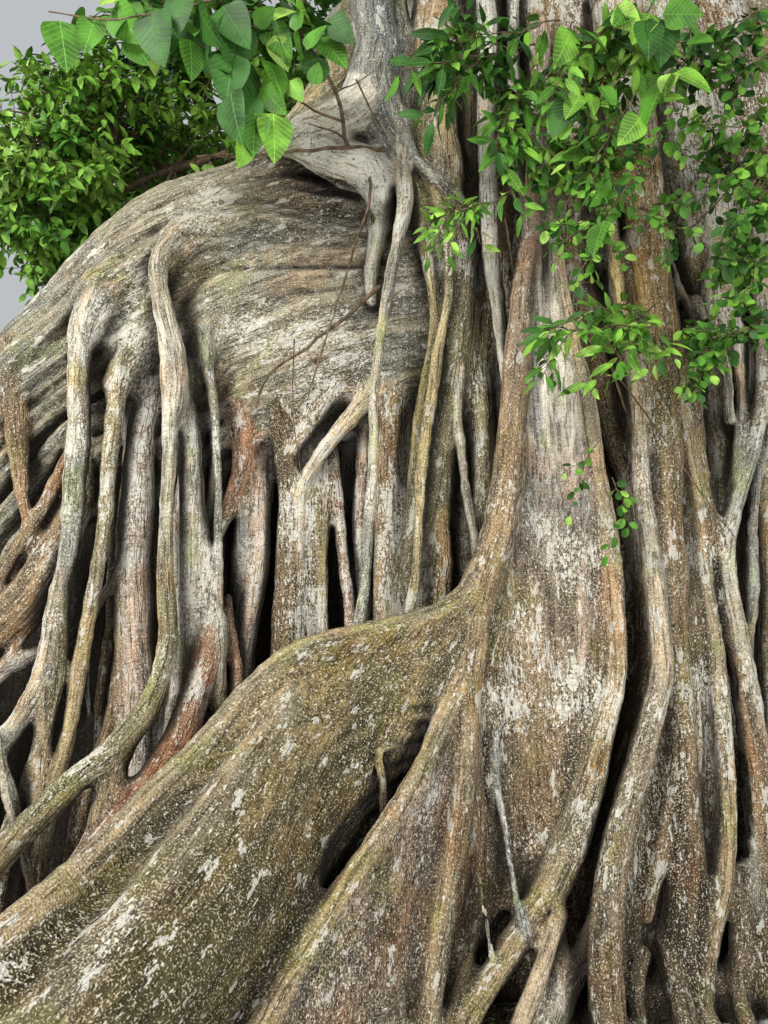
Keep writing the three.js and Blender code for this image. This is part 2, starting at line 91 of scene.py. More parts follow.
# Named bark colours, as seen in daylight (sRGB, 0 to 255)
BARK = {
    "tan": (160, 144, 114),
    "pale tan": (188, 172, 146),
    "grey": (164, 160, 146),
    "smooth grey": (138, 140, 134),
    "white": (186, 184, 174),
    "chalk": (216, 214, 206),
    "pink": (174, 156, 142),
    "mauve": (150, 132, 114),
    "olive": (146, 136, 102),
    "brown": (134, 114, 88),
    "russet": (148, 116, 94),
    "dark brown": (100, 86, 66),
    "ochre": (162, 136, 92),
    "slab": (146, 142, 126),
    "plate": (134, 118, 86),
    "olive brown": (108, 98, 64),
    "dark olive": (80, 72, 46),
    # gap: painted shade, the near-black of the shaded slots between the roots, worn by the web
    "gap": (36, 32, 28),
    # groove: painted shade, the dark inside the grooves
    "groove": (58, 50, 42),
}

LICHEN = (208, 204, 192)
SPECKLE = (206, 194, 166)
# Painted shade, partly dirt: the near-black that bark takes in hollows
SHADE_AND_DIRT = (34, 28, 22)
# Factors that shift the bark's hue in patches, and down the slab, stained from under the first stem
RUST, MOSS = (1.08, 0.88, 0.76, 1), (0.90, 1.0, 0.68, 1)
STREAK, STAIN = (0.92, 0.80, 0.70, 1), (0.62, 0.52, 0.50, 1)
STAIN_PLACE = (-1.08, -0.55, 3.62)

# Each limb has a name, a group, a bark colour, a share of lichen and the points it runs through, as
# (x, y, z, radius). The first group of limbs holds the roots that come down in front of the arch.
LIMBS = [
    ("root 1", "roots", "grey", 0.7, [(-2.08, -0.34, 3.1, 0.045), (-2.13, -0.45, 3.0, 0.049),
        (-2.17, -0.58, 2.7, 0.052), (-2.16, -0.62, 2.13, 0.051), (-2.2, -0.64, 1.54, 0.045),
        (-2.29, -0.74, 1.07, 0.048), (-2.45, -0.82, 0.8, 0.052), (-2.75, -0.95, 0.0, 0.07)]),
    ("root 1 branch", "roots", "olive", 0.2, [(-2.19, -0.62, 1.58, 0.036), (-2.17, -0.68, 1.22, 0.028),
        (-2.27, -0.8, 0.71, 0.029), (-2.5, -0.95, 0.0, 0.035)]),
    ("root 2", "roots", "olive>tan", 0.5, [(-1.92, -0.36, 2.88, 0.039), (-1.99, -0.55, 2.62, 0.042),
        (-2.0, -0.6, 2.3, 0.042), (-2.03, -0.61, 1.85, 0.035), (-2.08, -0.66, 1.32, 0.031),
        (-2.12, -0.74, 0.9, 0.034), (-2.16, -0.85, 0.56, 0.041), (-2.2, -0.92, 0.0, 0.055)]),
    ("hooked root", "roots", "tan>white>olive>olive>tan", 0.35, [(-1.58, -0.36, 3.37, 0.036),
        (-1.7, -0.48, 3.31, 0.049), (-1.8, -0.6, 3.17, 0.047), (-1.8, -0.63, 3.0, 0.042),
        (-1.73, -0.65, 2.71, 0.051), (-1.71, -0.66, 2.48, 0.058), (-1.72, -0.68, 2.26, 0.038),
        (-1.71, -0.73, 1.72, 0.037), (-1.68, -0.8, 1.31, 0.043), (-1.79, -0.94, 0.99, 0.053),
        (-2.01, -1.08, 0.78, 0.052), (-2.22, -1.25, 0.54, 0.058), (-2.6, -1.55, 0.0, 0.075)]),
    ("hooked root leg", "roots", "tan", 0.3, [(-1.8, -0.92, 1.0, 0.04), (-1.83, -1.0, 0.78, 0.05),
        (-1.82, -1.12, 0.55, 0.05), (-1.88, -1.25, 0.0, 0.065)]),
    ("hooked root side", "roots", "grey", 0.7, [(-1.72, -0.55, 2.62, 0.047), (-1.65, -0.56, 2.2, 0.056),
        (-1.63, -0.58, 1.45, 0.055), (-1.65, -0.64, 0.92, 0.062), (-1.7, -0.72, 0.0, 0.08)]),
    ("wide root", "roots", "pink", 0.8, [(-1.88, -0.34, 2.8, 0.055), (-1.89, -0.41, 2.55, 0.066),
        (-1.92, -0.46, 2.01, 0.078), (-1.91, -0.48, 1.5, 0.088), (-1.86, -0.54, 0.95, 0.086),
        (-1.85, -0.62, 0.0, 0.11)]),
    ("slim root", "roots", "grey", 0.6, [(-1.61, -0.42, 2.9, 0.018), (-1.57, -0.54, 2.65, 0.019),
        (-1.53, -0.58, 2.3, 0.019), (-1.5, -0.58, 1.8, 0.022), (-1.48, -0.64, 1.01, 0.031),
        (-1.5, -0.7, 0.0, 0.04)]),
    ("far left root", "roots", "brown", 0.4, [(-2.6, -0.28, 2.8, 0.065), (-2.54, -0.42, 2.5, 0.055),
        (-2.49, -0.46, 2.2, 0.045), (-2.42, -0.5, 1.91, 0.028), (-2.32, -0.54, 1.55, 0.021),
        (-2.42, -0.6, 1.29, 0.023), (-2.62, -0.68, 0.95, 0.03), (-2.8, -0.78, 0.0, 0.045)]),
    ("far left branch", "roots", "brown", 0.4, [(-2.25, -0.4, 2.3, 0.03), (-2.33, -0.49, 2.0, 0.034),
        (-2.46, -0.53, 1.75, 0.033), (-2.7, -0.66, 1.2, 0.038), (-3.0, -0.85, 0.0, 0.055)]),
    ("slim root low", "roots", "brown", 0.3, [(-1.98, -0.5, 1.63, 0.023), (-1.96, -0.56, 1.05, 0.03),
        (-2.05, -0.66, 0.67, 0.035), (-2.12, -0.75, 0.0, 0.045)]),
    ("loop", "roots", "grey", 0.3, [(-2.34, -0.88, 1.0, 0.014), (-2.24, -1.0, 0.76, 0.018),
        (-2.16, -1.05, 0.62, 0.019), (-2.05, -1.08, 0.3, 0.02)]),
    ("wavy root", "roots", "russet", 0.8, [(-1.55, -0.33, 2.7, 0.06), (-1.43, -0.38, 2.34, 0.064),
        (-1.46, -0.41, 2.05, 0.045), (-1.58, -0.48, 1.72, 0.033), (-1.58, -0.5, 1.4, 0.037),
        (-1.54, -0.55, 0.95, 0.045), (-1.52, -0.62, 0.0, 0.06)]),
    ("inner root 1", "roots", "pink", 0.7, [(-1.34, -0.3, 2.6, 0.035), (-1.36, -0.36, 2.12, 0.049),
        (-1.37, -0.4, 1.6, 0.062), (-1.42, -0.45, 1.07, 0.045), (-1.45, -0.5, 0.0, 0.06)]),
    ("inner root 1 side", "roots", "dark brown", 0.2, [(-1.28, -0.32, 2.25, 0.025),
        (-1.33, -0.38, 1.85, 0.028), (-1.39, -0.42, 1.45, 0.028)]),
    ("inner root 2", "roots", "dark brown", 0.6, [(-1.36, -0.27, 2.85, 0.045), (-1.25, -0.36, 2.45, 0.072),
        (-1.18, -0.42, 1.87, 0.064), (-1.2, -0.46, 1.3, 0.075), (-1.22, -0.52, 0.0, 0.09)]),
    ("inner root 3", "roots", "brown", 0.6, [(-1.1, -0.33, 2.5, 0.04), (-1.05, -0.38, 2.12, 0.068),
        (-1.07, -0.41, 1.75, 0.055), (-1.08, -0.44, 1.3, 0.03), (-1.1, -0.5, 0.4, 0.035)]),
    ("inner root 3 side", "roots", "olive", 0.2, [(-1.06, -0.43, 2.2, 0.022), (-1.03, -0.46, 1.63, 0.024),
        (-1.03, -0.5, 0.9, 0.026)]),
    ("inner root 4", "roots", "russet", 0.9, [(-0.99, -0.38, 2.3, 0.024), (-0.94, -0.43, 1.8, 0.029),
        (-0.9, -0.46, 1.35, 0.031), (-0.88, -0.52, 0.5, 0.035)]),
    ("crossing root", "roots", "pale tan", 0.7, [(-0.7, -0.38, 2.72, 0.044), (-0.82, -0.46, 2.5, 0.048),
        (-1.0, -0.5, 2.29, 0.04), (-1.12, -0.48, 2.1, 0.031), (-1.14, -0.46, 1.9, 0.029),
        (-1.14, -0.44, 1.3, 0.03)]),
    ("crossing root upper", "roots", "brown", 0.9, [(-0.74, -0.36, 2.7, 0.03), (-0.9, -0.4, 2.65, 0.034),
        (-1.04, -0.44, 2.47, 0.037), (-1.2, -0.43, 2.25, 0.039)]),
    ("inner root 5", "roots", "brown", 0.8, [(-0.69, -0.32, 3.05, 0.045), (-0.71, -0.42, 2.55, 0.07),
        (-0.71, -0.46, 1.91, 0.071), (-0.71, -0.52, 1.35, 0.079), (-0.7, -0.62, 0.0, 0.1)]),
    ("inner root 6", "roots", "dark brown", 0.3, [(-0.65, -0.4, 2.45, 0.029), (-0.62, -0.48, 1.75, 0.03),
        (-0.65, -0.5, 1.4, 0.03), (-0.66, -0.56, 0.5, 0.035)]),
    ("left broad root", "roots", "brown", 0.5, [(-2.22, -0.38, 2.36, 0.039), (-2.21, -0.42, 2.06, 0.063),
        (-2.27, -0.47, 1.82, 0.09), (-2.37, -0.52, 1.58, 0.098), (-2.5, -0.56, 1.42, 0.096),
        (-2.72, -0.64, 1.18, 0.089), (-3.1, -0.8, 0.0, 0.11)]),
    ("left pale root", "roots", "white", 0.5, [(-2.12, -0.5, 1.45, 0.023), (-2.22, -0.54, 1.34, 0.028),
        (-2.35, -0.58, 1.28, 0.032), (-2.49, -0.62, 1.18, 0.031), (-2.69, -0.68, 0.97, 0.035),
        (-2.95, -0.8, 0.0, 0.05)]),
    ("left thin root", "roots", "grey", 0.6, [(-1.96, -0.5, 1.78, 0.019), (-2.02, -0.53, 1.58, 0.023),
        (-2.08, -0.56, 1.44, 0.023), (-2.09, -0.6, 1.27, 0.018), (-2.06, -0.62, 1.01, 0.013)]),
    ("left low root", "roots", "brown", 0.4, [(-2.4, -0.8, 0.94, 0.025), (-2.3, -0.86, 0.8, 0.025),
        (-2.24, -0.92, 0.69, 0.028), (-2.21, -1.0, 0.57, 0.032), (-2.25, -1.1, 0.0, 0.05)]),
    ("middle left root", "roots", "tan", 0.4, [(-2.22, -0.72, 1.15, 0.026), (-2.21, -0.76, 0.94, 0.026),
        (-2.2, -0.82, 0.75, 0.033), (-2.18, -0.9, 0.61, 0.033), (-2.16, -1.0, 0.0, 0.05)]),
    ("slim root side", "roots", "grey", 0.6, [(-1.7, -0.46, 2.4, 0.029), (-1.66, -0.5, 2.15, 0.033),
        (-1.6, -0.54, 1.86, 0.033), (-1.55, -0.56, 1.63, 0.041), (-1.53, -0.58, 1.31, 0.041),
        (-1.53, -0.62, 0.83, 0.044), (-1.53, -0.7, 0.0, 0.055)]),
    ("broad red root", "roots", "russet", 0.7, [(-1.74, -0.4, 1.92, 0.058), (-1.67, -0.44, 1.53, 0.09),
        (-1.65, -0.5, 1.17, 0.102), (-1.66, -0.56, 0.77, 0.113), (-1.68, -0.62, 0.0, 0.13)]),
    ("low side root", "roots", "russet", 0.6, [(-1.47, -0.52, 1.54, 0.023), (-1.44, -0.55, 1.31, 0.028),
        (-1.41, -0.58, 1.09, 0.032), (-1.38, -0.62, 0.0, 0.04)]),
    # Folds of the arch's slab, which run down into its roots
    ("fold 1", "arch", "slab", 0.5, [(-1.62, -0.26, 3.66, 0.03), (-1.84, -0.3, 3.5, 0.05),
        (-2.02, -0.34, 3.28, 0.055), (-2.12, -0.4, 3.05, 0.05), (-2.16, -0.52, 2.8, 0.05)]),
    ("fold 2", "arch", "slab", 0.6, [(-1.05, -0.33, 3.42, 0.02), (-1.3, -0.38, 3.43, 0.045),
        (-1.52, -0.4, 3.38, 0.055), (-1.7, -0.46, 3.3, 0.05)]),
    ("fold 3", "arch", "slab", 0.7, [(-1.2, -0.38, 3.12, 0.03), (-1.45, -0.42, 2.98, 0.06),
        (-1.6, -0.42, 2.8, 0.06), (-1.66, -0.46, 2.55, 0.06)]),
    ("fold 4", "arch", "slab", 0.4, [(-1.95, -0.33, 3.25, 0.03), (-1.9, -0.38, 3.0, 0.05),
        (-1.93, -0.44, 2.75, 0.05), (-2.0, -0.55, 2.55, 0.045)]),
    ("fold 5", "arch", "brown", 0.6, [(-0.78, -0.42, 3.05, 0.03), (-1.0, -0.42, 2.8, 0.06),
        (-1.18, -0.38, 2.66, 0.075), (-1.32, -0.34, 2.52, 0.06)]),
    ("fold 6", "arch", "slab", 0.5, [(-2.28, -0.22, 3.2, 0.03), (-2.45, -0.28, 2.98, 0.06),
        (-2.58, -0.34, 2.7, 0.065)]),
    # Roots that hang from the upper stems in front of the trunk
    ("hanging root 1", "hanging", "grey", 0.4, [(-0.66, -0.62, 3.82, 0.038), (-0.64, -0.68, 3.39, 0.037),
        (-0.68, -0.7, 3.19, 0.03), (-0.76, -0.73, 2.66, 0.023), (-0.8, -0.78, 2.02, 0.024),
        (-0.85, -0.84, 1.42, 0.028), (-0.92, -0.86, 0.6, 0.032), (-0.95, -0.88, 0.0, 0.04)]),
    ("hanging root 2", "hanging", "olive", 0.2, [(-0.55, -0.64, 3.57, 0.024), (-0.46, -0.66, 3.3, 0.028),
        (-0.44, -0.67, 2.96, 0.023), (-0.5, -0.7, 2.58, 0.027), (-0.56, -0.72, 2.16, 0.028),
        (-0.6, -0.76, 1.71, 0.024), (-0.66, -0.85, 1.21, 0.025), (-0.67, -0.88, 0.0, 0.035)]),
    ("hanging root 3", "hanging", "olive", 0.2, [(-0.59, -0.58, 3.8, 0.044), (-0.57, -0.6, 3.43, 0.045),
        (-0.5, -0.6, 2.94, 0.028), (-0.52, -0.6, 2.7, 0.023), (-0.6, -0.57, 2.3, 0.019),
        (-0.62, -0.54, 1.9, 0.019)]),
    ("hanging root 4", "hanging", "grey", 0.4, [(-0.43, -0.58, 3.2, 0.018), (-0.41, -0.62, 2.75, 0.019),
        (-0.38, -0.65, 2.25, 0.021), (-0.35, -0.7, 1.84, 0.021), (-0.31, -0.78, 1.45, 0.022),
        (-0.3, -0.85, 0.9, 0.025)]),
    ("swelling root", "hanging", "ochre", 0.1, [(-0.47, -0.52, 2.52, 0.014), (-0.47, -0.56, 2.23, 0.03),
        (-0.48, -0.61, 1.9, 0.048), (-0.51, -0.66, 1.45, 0.058), (-0.53, -0.76, 0.5, 0.07)]),
    ("upper crossing", "hanging", "grey", 0.5, [(-0.72, -0.6, 3.98, 0.024), (-0.65, -0.66, 3.76, 0.025),
        (-0.6, -0.68, 3.6, 0.026), (-0.47, -0.68, 3.49, 0.026), (-0.38, -0.62, 3.41, 0.03)]),
    # Stems of the trunk
    ("stem 1", "trunk", "smooth grey", 0.1, [(-0.2, -0.08, 6.6, 0.13), (-0.55, -0.3, 5.7, 0.12),
        (-0.78, -0.46, 4.95, 0.105), (-0.8, -0.52, 4.51, 0.105), (-0.78, -0.54, 4.23, 0.109),
        (-0.79, -0.56, 3.99, 0.122), (-0.74, -0.58, 3.8, 0.097), (-0.68, -0.6, 3.67, 0.062)]),
    ("stem 1 side", "trunk", "grey", 0.3, [(-0.4, -0.3, 5.5, 0.05), (-0.67, -0.46, 4.78, 0.041),
        (-0.66, -0.5, 4.42, 0.04), (-0.65, -0.54, 4.08, 0.039), (-0.65, -0.58, 3.8, 0.044),
        (-0.66, -0.6, 3.68, 0.048)]),
    ("stem 1 wedge", "trunk", "white", 0.8, [(-0.74, -0.54, 3.76, 0.11), (-0.75, -0.55, 3.57, 0.085),
        (-0.76, -0.56, 3.42, 0.058), (-0.77, -0.57, 3.27, 0.043), (-0.8, -0.58, 3.1, 0.034),
        (-0.79, -0.58, 2.94, 0.024)]),
    ("crest wing", "arch", "olive", 0.3, [(-1.3, -0.22, 3.84, 0.05), (-1.19, -0.22, 3.93, 0.09),
        (-1.13, -0.24, 4.02, 0.116), (-1.03, -0.24, 4.13, 0.148), (-0.91, -0.24, 4.25, 0.17),
        (-0.8, -0.24, 4.6, 0.182)]),
    ("stem 1 flare", "trunk", "white>chalk", 0.8, [(-0.79, -0.54, 4.07, 0.11), (-0.87, -0.6, 3.88, 0.12),
        (-1.0, -0.62, 3.78, 0.105), (-1.13, -0.59, 3.77, 0.08), (-1.23, -0.54, 3.75, 0.055)]),
    ("stem 1 foot", "trunk", "chalk", 0.9, [(-1.2, -0.54, 3.71, 0.035), (-1.08, -0.6, 3.66, 0.072),
        (-0.93, -0.62, 3.6, 0.105), (-0.8, -0.62, 3.54, 0.1), (-0.76, -0.62, 3.42, 0.065)]),
    ("stem 2", "trunk", "tan", 0.4, [(-0.18, -0.2, 6.4, 0.17), (-0.42, -0.4, 5.2, 0.145),
        (-0.48, -0.54, 4.1, 0.11), (-0.43, -0.56, 3.35, 0.096), (-0.36, -0.48, 2.49, 0.072),
        (-0.38, -0.5, 1.5, 0.08), (-0.42, -0.66, 0.0, 0.1)]),
    ("stem 3", "trunk", "white", 0.9, [(-0.15, -0.4, 5.6, 0.055), (-0.24, -0.61, 4.4, 0.045),
        (-0.24, -0.66, 3.4, 0.042), (-0.22, -0.72, 2.85, 0.031), (-0.2, -0.82, 2.3, 0.022)]),
    ("stem 4", "trunk", "grey", 0.6, [(-0.08, -0.48, 5.2, 0.04), (-0.11, -0.58, 4.15, 0.03),
        (-0.1, -0.62, 3.7, 0.029), (-0.05, -0.68, 3.15, 0.028)]),
    ("stem 5", "trunk", "olive", 0.6, [(-0.29, -0.48, 2.95, 0.06), (-0.29, -0.58, 2.14, 0.066),
        (-0.29, -0.66, 1.49, 0.058), (-0.3, -0.8, 0.5, 0.06)]),
    ("stem 6", "trunk", "brown", 0.2, [(0.16, -0.48, 3.4, 0.1), (0.24, -0.55, 2.7, 0.09),
        (0.31, -0.62, 2.35, 0.062), (0.35, -0.7, 2.05, 0.04)]),
    ("column 1 left rib", "trunk", "pink>brown>tan", 0.3, [(0.02, -0.62, 4.3, 0.05),
        (-0.03, -0.74, 3.7, 0.04), (-0.07, -0.79, 3.3, 0.038), (-0.12, -0.84, 2.9, 0.044),
        (-0.19, -0.9, 2.35, 0.06), (-0.26, -0.96, 1.87, 0.072), (-0.37, -1.02, 1.46, 0.056),
        (-0.42, -1.12, 1.08, 0.045), (-0.45, -1.19, 0.87, 0.042), (-0.49, -1.27, 0.64, 0.042),
        (-0.54, -1.34, 0.42, 0.044), (-0.58, -1.39, 0.26, 0.046), (-0.62, -1.46, 0.0, 0.052)]),
    ("column 1 right rib", "trunk", "pale tan>tan>tan", 0.4, [(-0.03, -0.72, 3.7, 0.024),
        (0.0, -0.78, 3.34, 0.023), (0.06, -0.82, 2.86, 0.027), (0.14, -0.87, 2.4, 0.03),
        (0.2, -0.92, 1.79, 0.034), (0.21, -0.95, 1.5, 0.033), (0.2, -0.97, 1.25, 0.034),
        (0.12, -1.03, 0.99, 0.051), (0.06, -1.06, 0.82, 0.066), (-0.02, -1.1, 0.64, 0.07),
        (-0.14, -1.16, 0.45, 0.066), (-0.27, -1.24, 0.32, 0.055), (-0.4, -1.33, 0.18, 0.045),
        (-0.54, -1.44, 0.0, 0.044)]),
    ("column 1 right toe", "trunk", "pale tan", 0.2, [(-0.1, -1.2, 0.4, 0.034), (-0.18, -1.3, 0.26, 0.036),
        (-0.33, -1.42, 0.0, 0.045)]),
    ("low grey root", "trunk", "grey", 0.7, [(0.07, -1.1, 0.31, 0.045), (-0.01, -1.18, 0.23, 0.055),
        (-0.1, -1.26, 0.16, 0.06), (-0.22, -1.38, 0.0, 0.062)]),
    ("thin root 1", "trunk", "white", 0.7, [(-0.31, -1.06, 1.06, 0.016), (-0.3, -1.1, 0.86, 0.015),
        (-0.27, -1.15, 0.65, 0.015), (-0.25, -1.21, 0.47, 0.015), (-0.24, -1.28, 0.36, 0.018)]),
    ("thin root 2", "trunk", "white", 0.5, [(-0.42, -1.17, 0.84, 0.009), (-0.4, -1.21, 0.62, 0.009),
        (-0.38, -1.26, 0.44, 0.009), (-0.37, -1.32, 0.31, 0.011)]),
    ("column 2 left rib", "trunk", "ochre>pale tan>brown", 0.35, [(0.27, -0.66, 3.7, 0.034),
        (0.3, -0.74, 3.24, 0.032), (0.33, -0.79, 2.83, 0.031), (0.37, -0.84, 2.41, 0.033),
        (0.36, -0.88, 2.04, 0.039), (0.38, -0.93, 1.7, 0.045), (0.38, -0.98, 1.38, 0.047),
        (0.35, -1.01, 1.21, 0.047), (0.28, -1.06, 1.02, 0.048), (0.21, -1.11, 0.83, 0.048),
        (0.14, -1.17, 0.65, 0.05), (0.08, -1.23, 0.48, 0.056), (0.05, -1.3, 0.31, 0.062),
        (0.04, -1.38, 0.0, 0.069)]),
    ("column 2 middle", "trunk", "ochre>ochre>brown>dark brown", 0.45, [(0.42, -0.55, 4.4, 0.13),
        (0.44, -0.67, 3.6, 0.11), (0.47, -0.755, 2.8, 0.095), (0.48, -0.84, 1.88, 0.064),
        (0.47, -0.9, 1.21, 0.062), (0.45, -0.97, 0.59, 0.076), (0.37, -1.05, 0.0, 0.095)]),
    ("column 2 right rib", "trunk", "tan", 0.4, [(0.54, -0.62, 3.3, 0.03), (0.58, -0.73, 2.6, 0.03),
        (0.61, -0.77, 2.2, 0.031), (0.65, -0.86, 1.42, 0.034), (0.65, -0.92, 0.89, 0.035),
        (0.61, -0.99, 0.49, 0.035), (0.49, -1.07, 0.18, 0.034), (0.42, -1.12, 0.0, 0.041)]),
    ("right stem 1", "trunk", "brown", 0.2, [(0.6, -0.6, 3.0, 0.03), (0.63, -0.72, 2.3, 0.028),
        (0.68, -0.79, 1.71, 0.03), (0.74, -0.85, 1.25, 0.038), (0.79, -0.92, 0.74, 0.045),
        (0.8, -0.98, 0.0, 0.06)]),
    ("right stem 2", "trunk", "grey", 0.6, [(1.08, -0.5, 3.3, 0.055), (1.02, -0.67, 2.72, 0.05),
        (0.92, -0.74, 2.25, 0.036), (0.78, -0.8, 1.93, 0.037), (0.74, -0.84, 1.63, 0.034),
        (0.78, -0.88, 1.17, 0.033), (0.85, -0.95, 0.4, 0.04), (0.88, -1.0, 0.0, 0.05)]),
    ("right stem 2 arm", "trunk", "grey", 0.5, [(0.94, -0.56, 3.2, 0.022), (0.89, -0.66, 2.59, 0.021),
        (0.82, -0.76, 2.07, 0.022)]),
    ("right vine 1", "trunk", "grey", 0.4, [(0.58, -0.58, 3.25, 0.019), (0.68, -0.64, 2.9, 0.019),
        (0.76, -0.62, 2.62, 0.016)]),
    ("right vine 2", "trunk", "grey", 0.4, [(0.76, -0.56, 3.45, 0.019), (0.8, -0.62, 3.13, 0.019),
        (0.75, -0.6, 2.94, 0.018), (0.81, -0.56, 2.65, 0.016)]),
    ("right toe", "trunk", "brown", 0.3, [(0.7, -0.94, 0.5, 0.026), (0.66, -1.01, 0.22, 0.027),
        (0.59, -1.1, 0.0, 0.03)]),
    ("right wall 1", "trunk", "olive", 0.7, [(0.6, -0.24, 5.2, 0.17), (0.8, -0.4, 3.6, 0.19),
        (0.86, -0.46, 2.2, 0.18), (0.92, -0.58, 1.0, 0.17), (0.98, -0.72, 0.0, 0.2)]),
    ("right wall 2", "trunk", "grey", 0.7, [(0.76, -0.04, 5.2, 0.17), (1.06, -0.18, 3.4, 0.19),
        (1.18, -0.28, 2.0, 0.18), (1.3, -0.42, 1.0, 0.17), (1.45, -0.55, 0.0, 0.2)]),
    ("right wall 3", "trunk", "brown", 0.6, [(0.75, -0.1, 5.6, 0.2), (0.98, -0.2, 4.6, 0.22),
        (1.12, -0.3, 3.9, 0.22), (1.18, -0.38, 3.0, 0.2), (1.22, -0.4, 2.2, 0.18)]),
    ("right wall 4", "trunk", "tan", 0.5, [(1.05, 0.05, 5.4, 0.14), (1.3, -0.1, 4.6, 0.15),
        (1.4, -0.2, 3.8, 0.14), (1.38, -0.3, 3.0, 0.13)]),
    ("toe 1", "trunk", "tan", 0.3, [(-0.38, -1.1, 0.41, 0.027), (-0.43, -1.22, 0.25, 0.033),
        (-0.51, -1.36, 0.13, 0.038), (-0.6, -1.56, 0.0, 0.042)]),
    ("toe 2", "trunk", "brown", 0.3, [(0.34, -1.0, 0.26, 0.035), (0.34, -1.12, 0.13, 0.041),
        (0.32, -1.26, 0.06, 0.043), (0.31, -1.55, 0.0, 0.04)]),
    ("toe 3", "trunk", "tan", 0.3, [(0.53, -0.96, 0.36, 0.024), (0.47, -1.06, 0.18, 0.031),
        (0.43, -1.2, 0.07, 0.033), (0.42, -1.6, 0.0, 0.034)]),
    ("toe 4", "trunk", "brown", 0.3, [(0.65, -0.98, 0.33, 0.024), (0.61, -1.1, 0.2, 0.03),
        (0.55, -1.22, 0.08, 0.035), (0.54, -1.6, 0.0, 0.036)]),
    ("toe 5", "trunk", "dark brown", 0.3, [(0.81, -0.9, 0.42, 0.032), (0.75, -1.04, 0.24, 0.039),
        (0.68, -1.2, 0.09, 0.042), (0.66, -1.6, 0.0, 0.043)]),
    ("toe 6", "trunk", "grey", 0.4, [(-0.1, -1.16, 0.33, 0.026), (-0.12, -1.28, 0.19, 0.032),
        (-0.19, -1.42, 0.09, 0.034), (-0.27, -1.6, 0.0, 0.032)]),
    ("toe 7", "trunk", "brown", 0.3, [(0.23, -1.1, 0.2, 0.034), (0.15, -1.24, 0.1, 0.039),
        (0.1, -1.6, 0.0, 0.04)]),
    ("right thin stem", "trunk", "white", 0.7, [(0.93, -0.6, 2.8, 0.023), (0.89, -0.66, 2.45, 0.023),
        (0.84, -0.72, 2.12, 0.022), (0.77, -0.78, 1.89, 0.026)]),
    ("right long stem", "trunk", "grey", 0.6, [(0.95, -0.66, 2.13, 0.027), (0.88, -0.74, 1.71, 0.026),
        (0.81, -0.82, 1.29, 0.03), (0.77, -0.9, 0.73, 0.033), (0.68, -1.02, 0.16, 0.035),
        (0.66, -1.1, 0.0, 0.04)]),
    ("right mossy root", "trunk", "olive", 0.6, [(1.05, -0.56, 2.47, 0.056), (1.0, -0.62, 1.9, 0.064),
        (0.95, -0.7, 1.36, 0.066), (0.87, -0.8, 0.71, 0.067), (0.8, -0.94, 0.0, 0.075)]),
    ("right slim stem", "trunk", "grey", 0.5, [(0.72, -0.66, 2.92, 0.023), (0.76, -0.7, 2.72, 0.023),
        (0.8, -0.72, 2.56, 0.027), (0.81, -0.74, 2.34, 0.027)]),
    ("right knot root", "trunk", "brown", 0.4, [(0.68, -0.62, 2.7, 0.037), (0.67, -0.68, 2.35, 0.041),
        (0.66, -0.74, 2.07, 0.04), (0.68, -0.8, 1.8, 0.03)]),
    ("toe 8", "trunk", "brown", 0.3, [(0.53, -1.0, 0.42, 0.027), (0.48, -1.06, 0.22, 0.034),
        (0.42, -1.18, 0.0, 0.04)]),
    ("toe 9", "trunk", "brown", 0.3, [(0.68, -0.96, 0.48, 0.027), (0.63, -1.06, 0.27, 0.034),
        (0.57, -1.18, 0.0, 0.04)]),
    ("foot swell", "trunk", "dark olive", 0.1, [(-0.54, -1.2, 0.0, 0.07), (-0.09, -1.15, 0.0, 0.1),
        (0.38, -1.06, 0.01, 0.13), (0.8, -0.96, 0.04, 0.16), (1.2, -0.8, 0.04, 0.18)]),
    ("face fold 1", "trunk", "pink", 0.6, [(0.02, -0.8, 2.6, 0.013), (-0.03, -0.85, 1.97, 0.021),
        (-0.08, -0.93, 1.38, 0.025), (-0.16, -0.98, 0.83, 0.024), (-0.27, -1.05, 0.4, 0.027)]),
    ("face fold 2", "trunk", "pink", 0.6, [(0.09, -0.82, 2.41, 0.013), (0.09, -0.88, 1.88, 0.017),
        (0.07, -0.94, 1.38, 0.021), (0.03, -0.98, 0.99, 0.02)]),
    ("face fold 3", "trunk", "brown", 0.6, [(0.48, -0.87, 1.71, 0.017), (0.46, -0.92, 1.22, 0.021),
        (0.4, -0.97, 0.75, 0.024), (0.28, -1.06, 0.33, 0.031)]),
    ("face fold 4", "trunk", "brown", 0.6, [(0.57, -0.86, 1.54, 0.017), (0.55, -0.91, 1.05, 0.016),
        (0.5, -0.96, 0.59, 0.02), (0.42, -1.03, 0.24, 0.023)]),
    # On the faces of the two front buttresses: the second ridge and small roots
    ("buttress 1 ridge", "plates", "tan", 0.4, [(-1.08, -1.22, 1.2, 0.03), (-1.2, -1.36, 1.02, 0.045),
        (-1.34, -1.6, 0.82, 0.058), (-1.45, -1.83, 0.65, 0.064), (-1.6, -2.07, 0.5, 0.068),
        (-1.86, -2.4, 0.25, 0.072), (-2.12, -2.7, 0.0, 0.075)]),
    ("buttress 1 face", "plates", "olive brown>dark olive", 0.15, [(-0.64, -0.96, 1.1, 0.05),
        (-0.74, -1.01, 1.0, 0.09), (-0.9, -1.15, 0.84, 0.105), (-1.06, -1.36, 0.65, 0.125),
        (-1.32, -1.73, 0.32, 0.15), (-1.64, -2.12, 0.0, 0.155)]),
    ("buttress 1 swell", "plates", "plate>olive brown>dark olive", 0.2, [(-0.98, -1.12, 1.14, 0.06),
        (-1.08, -1.25, 0.95, 0.11), (-1.2, -1.47, 0.75, 0.15), (-1.31, -1.71, 0.57, 0.165),
        (-1.46, -1.95, 0.42, 0.17), (-1.72, -2.28, 0.18, 0.17), (-1.98, -2.58, 0.0, 0.17)]),
    ("low wall", "roots", "russet", 0.5, [(-1.52, -0.6, 1.42, 0.03), (-1.56, -0.72, 1.12, 0.06),
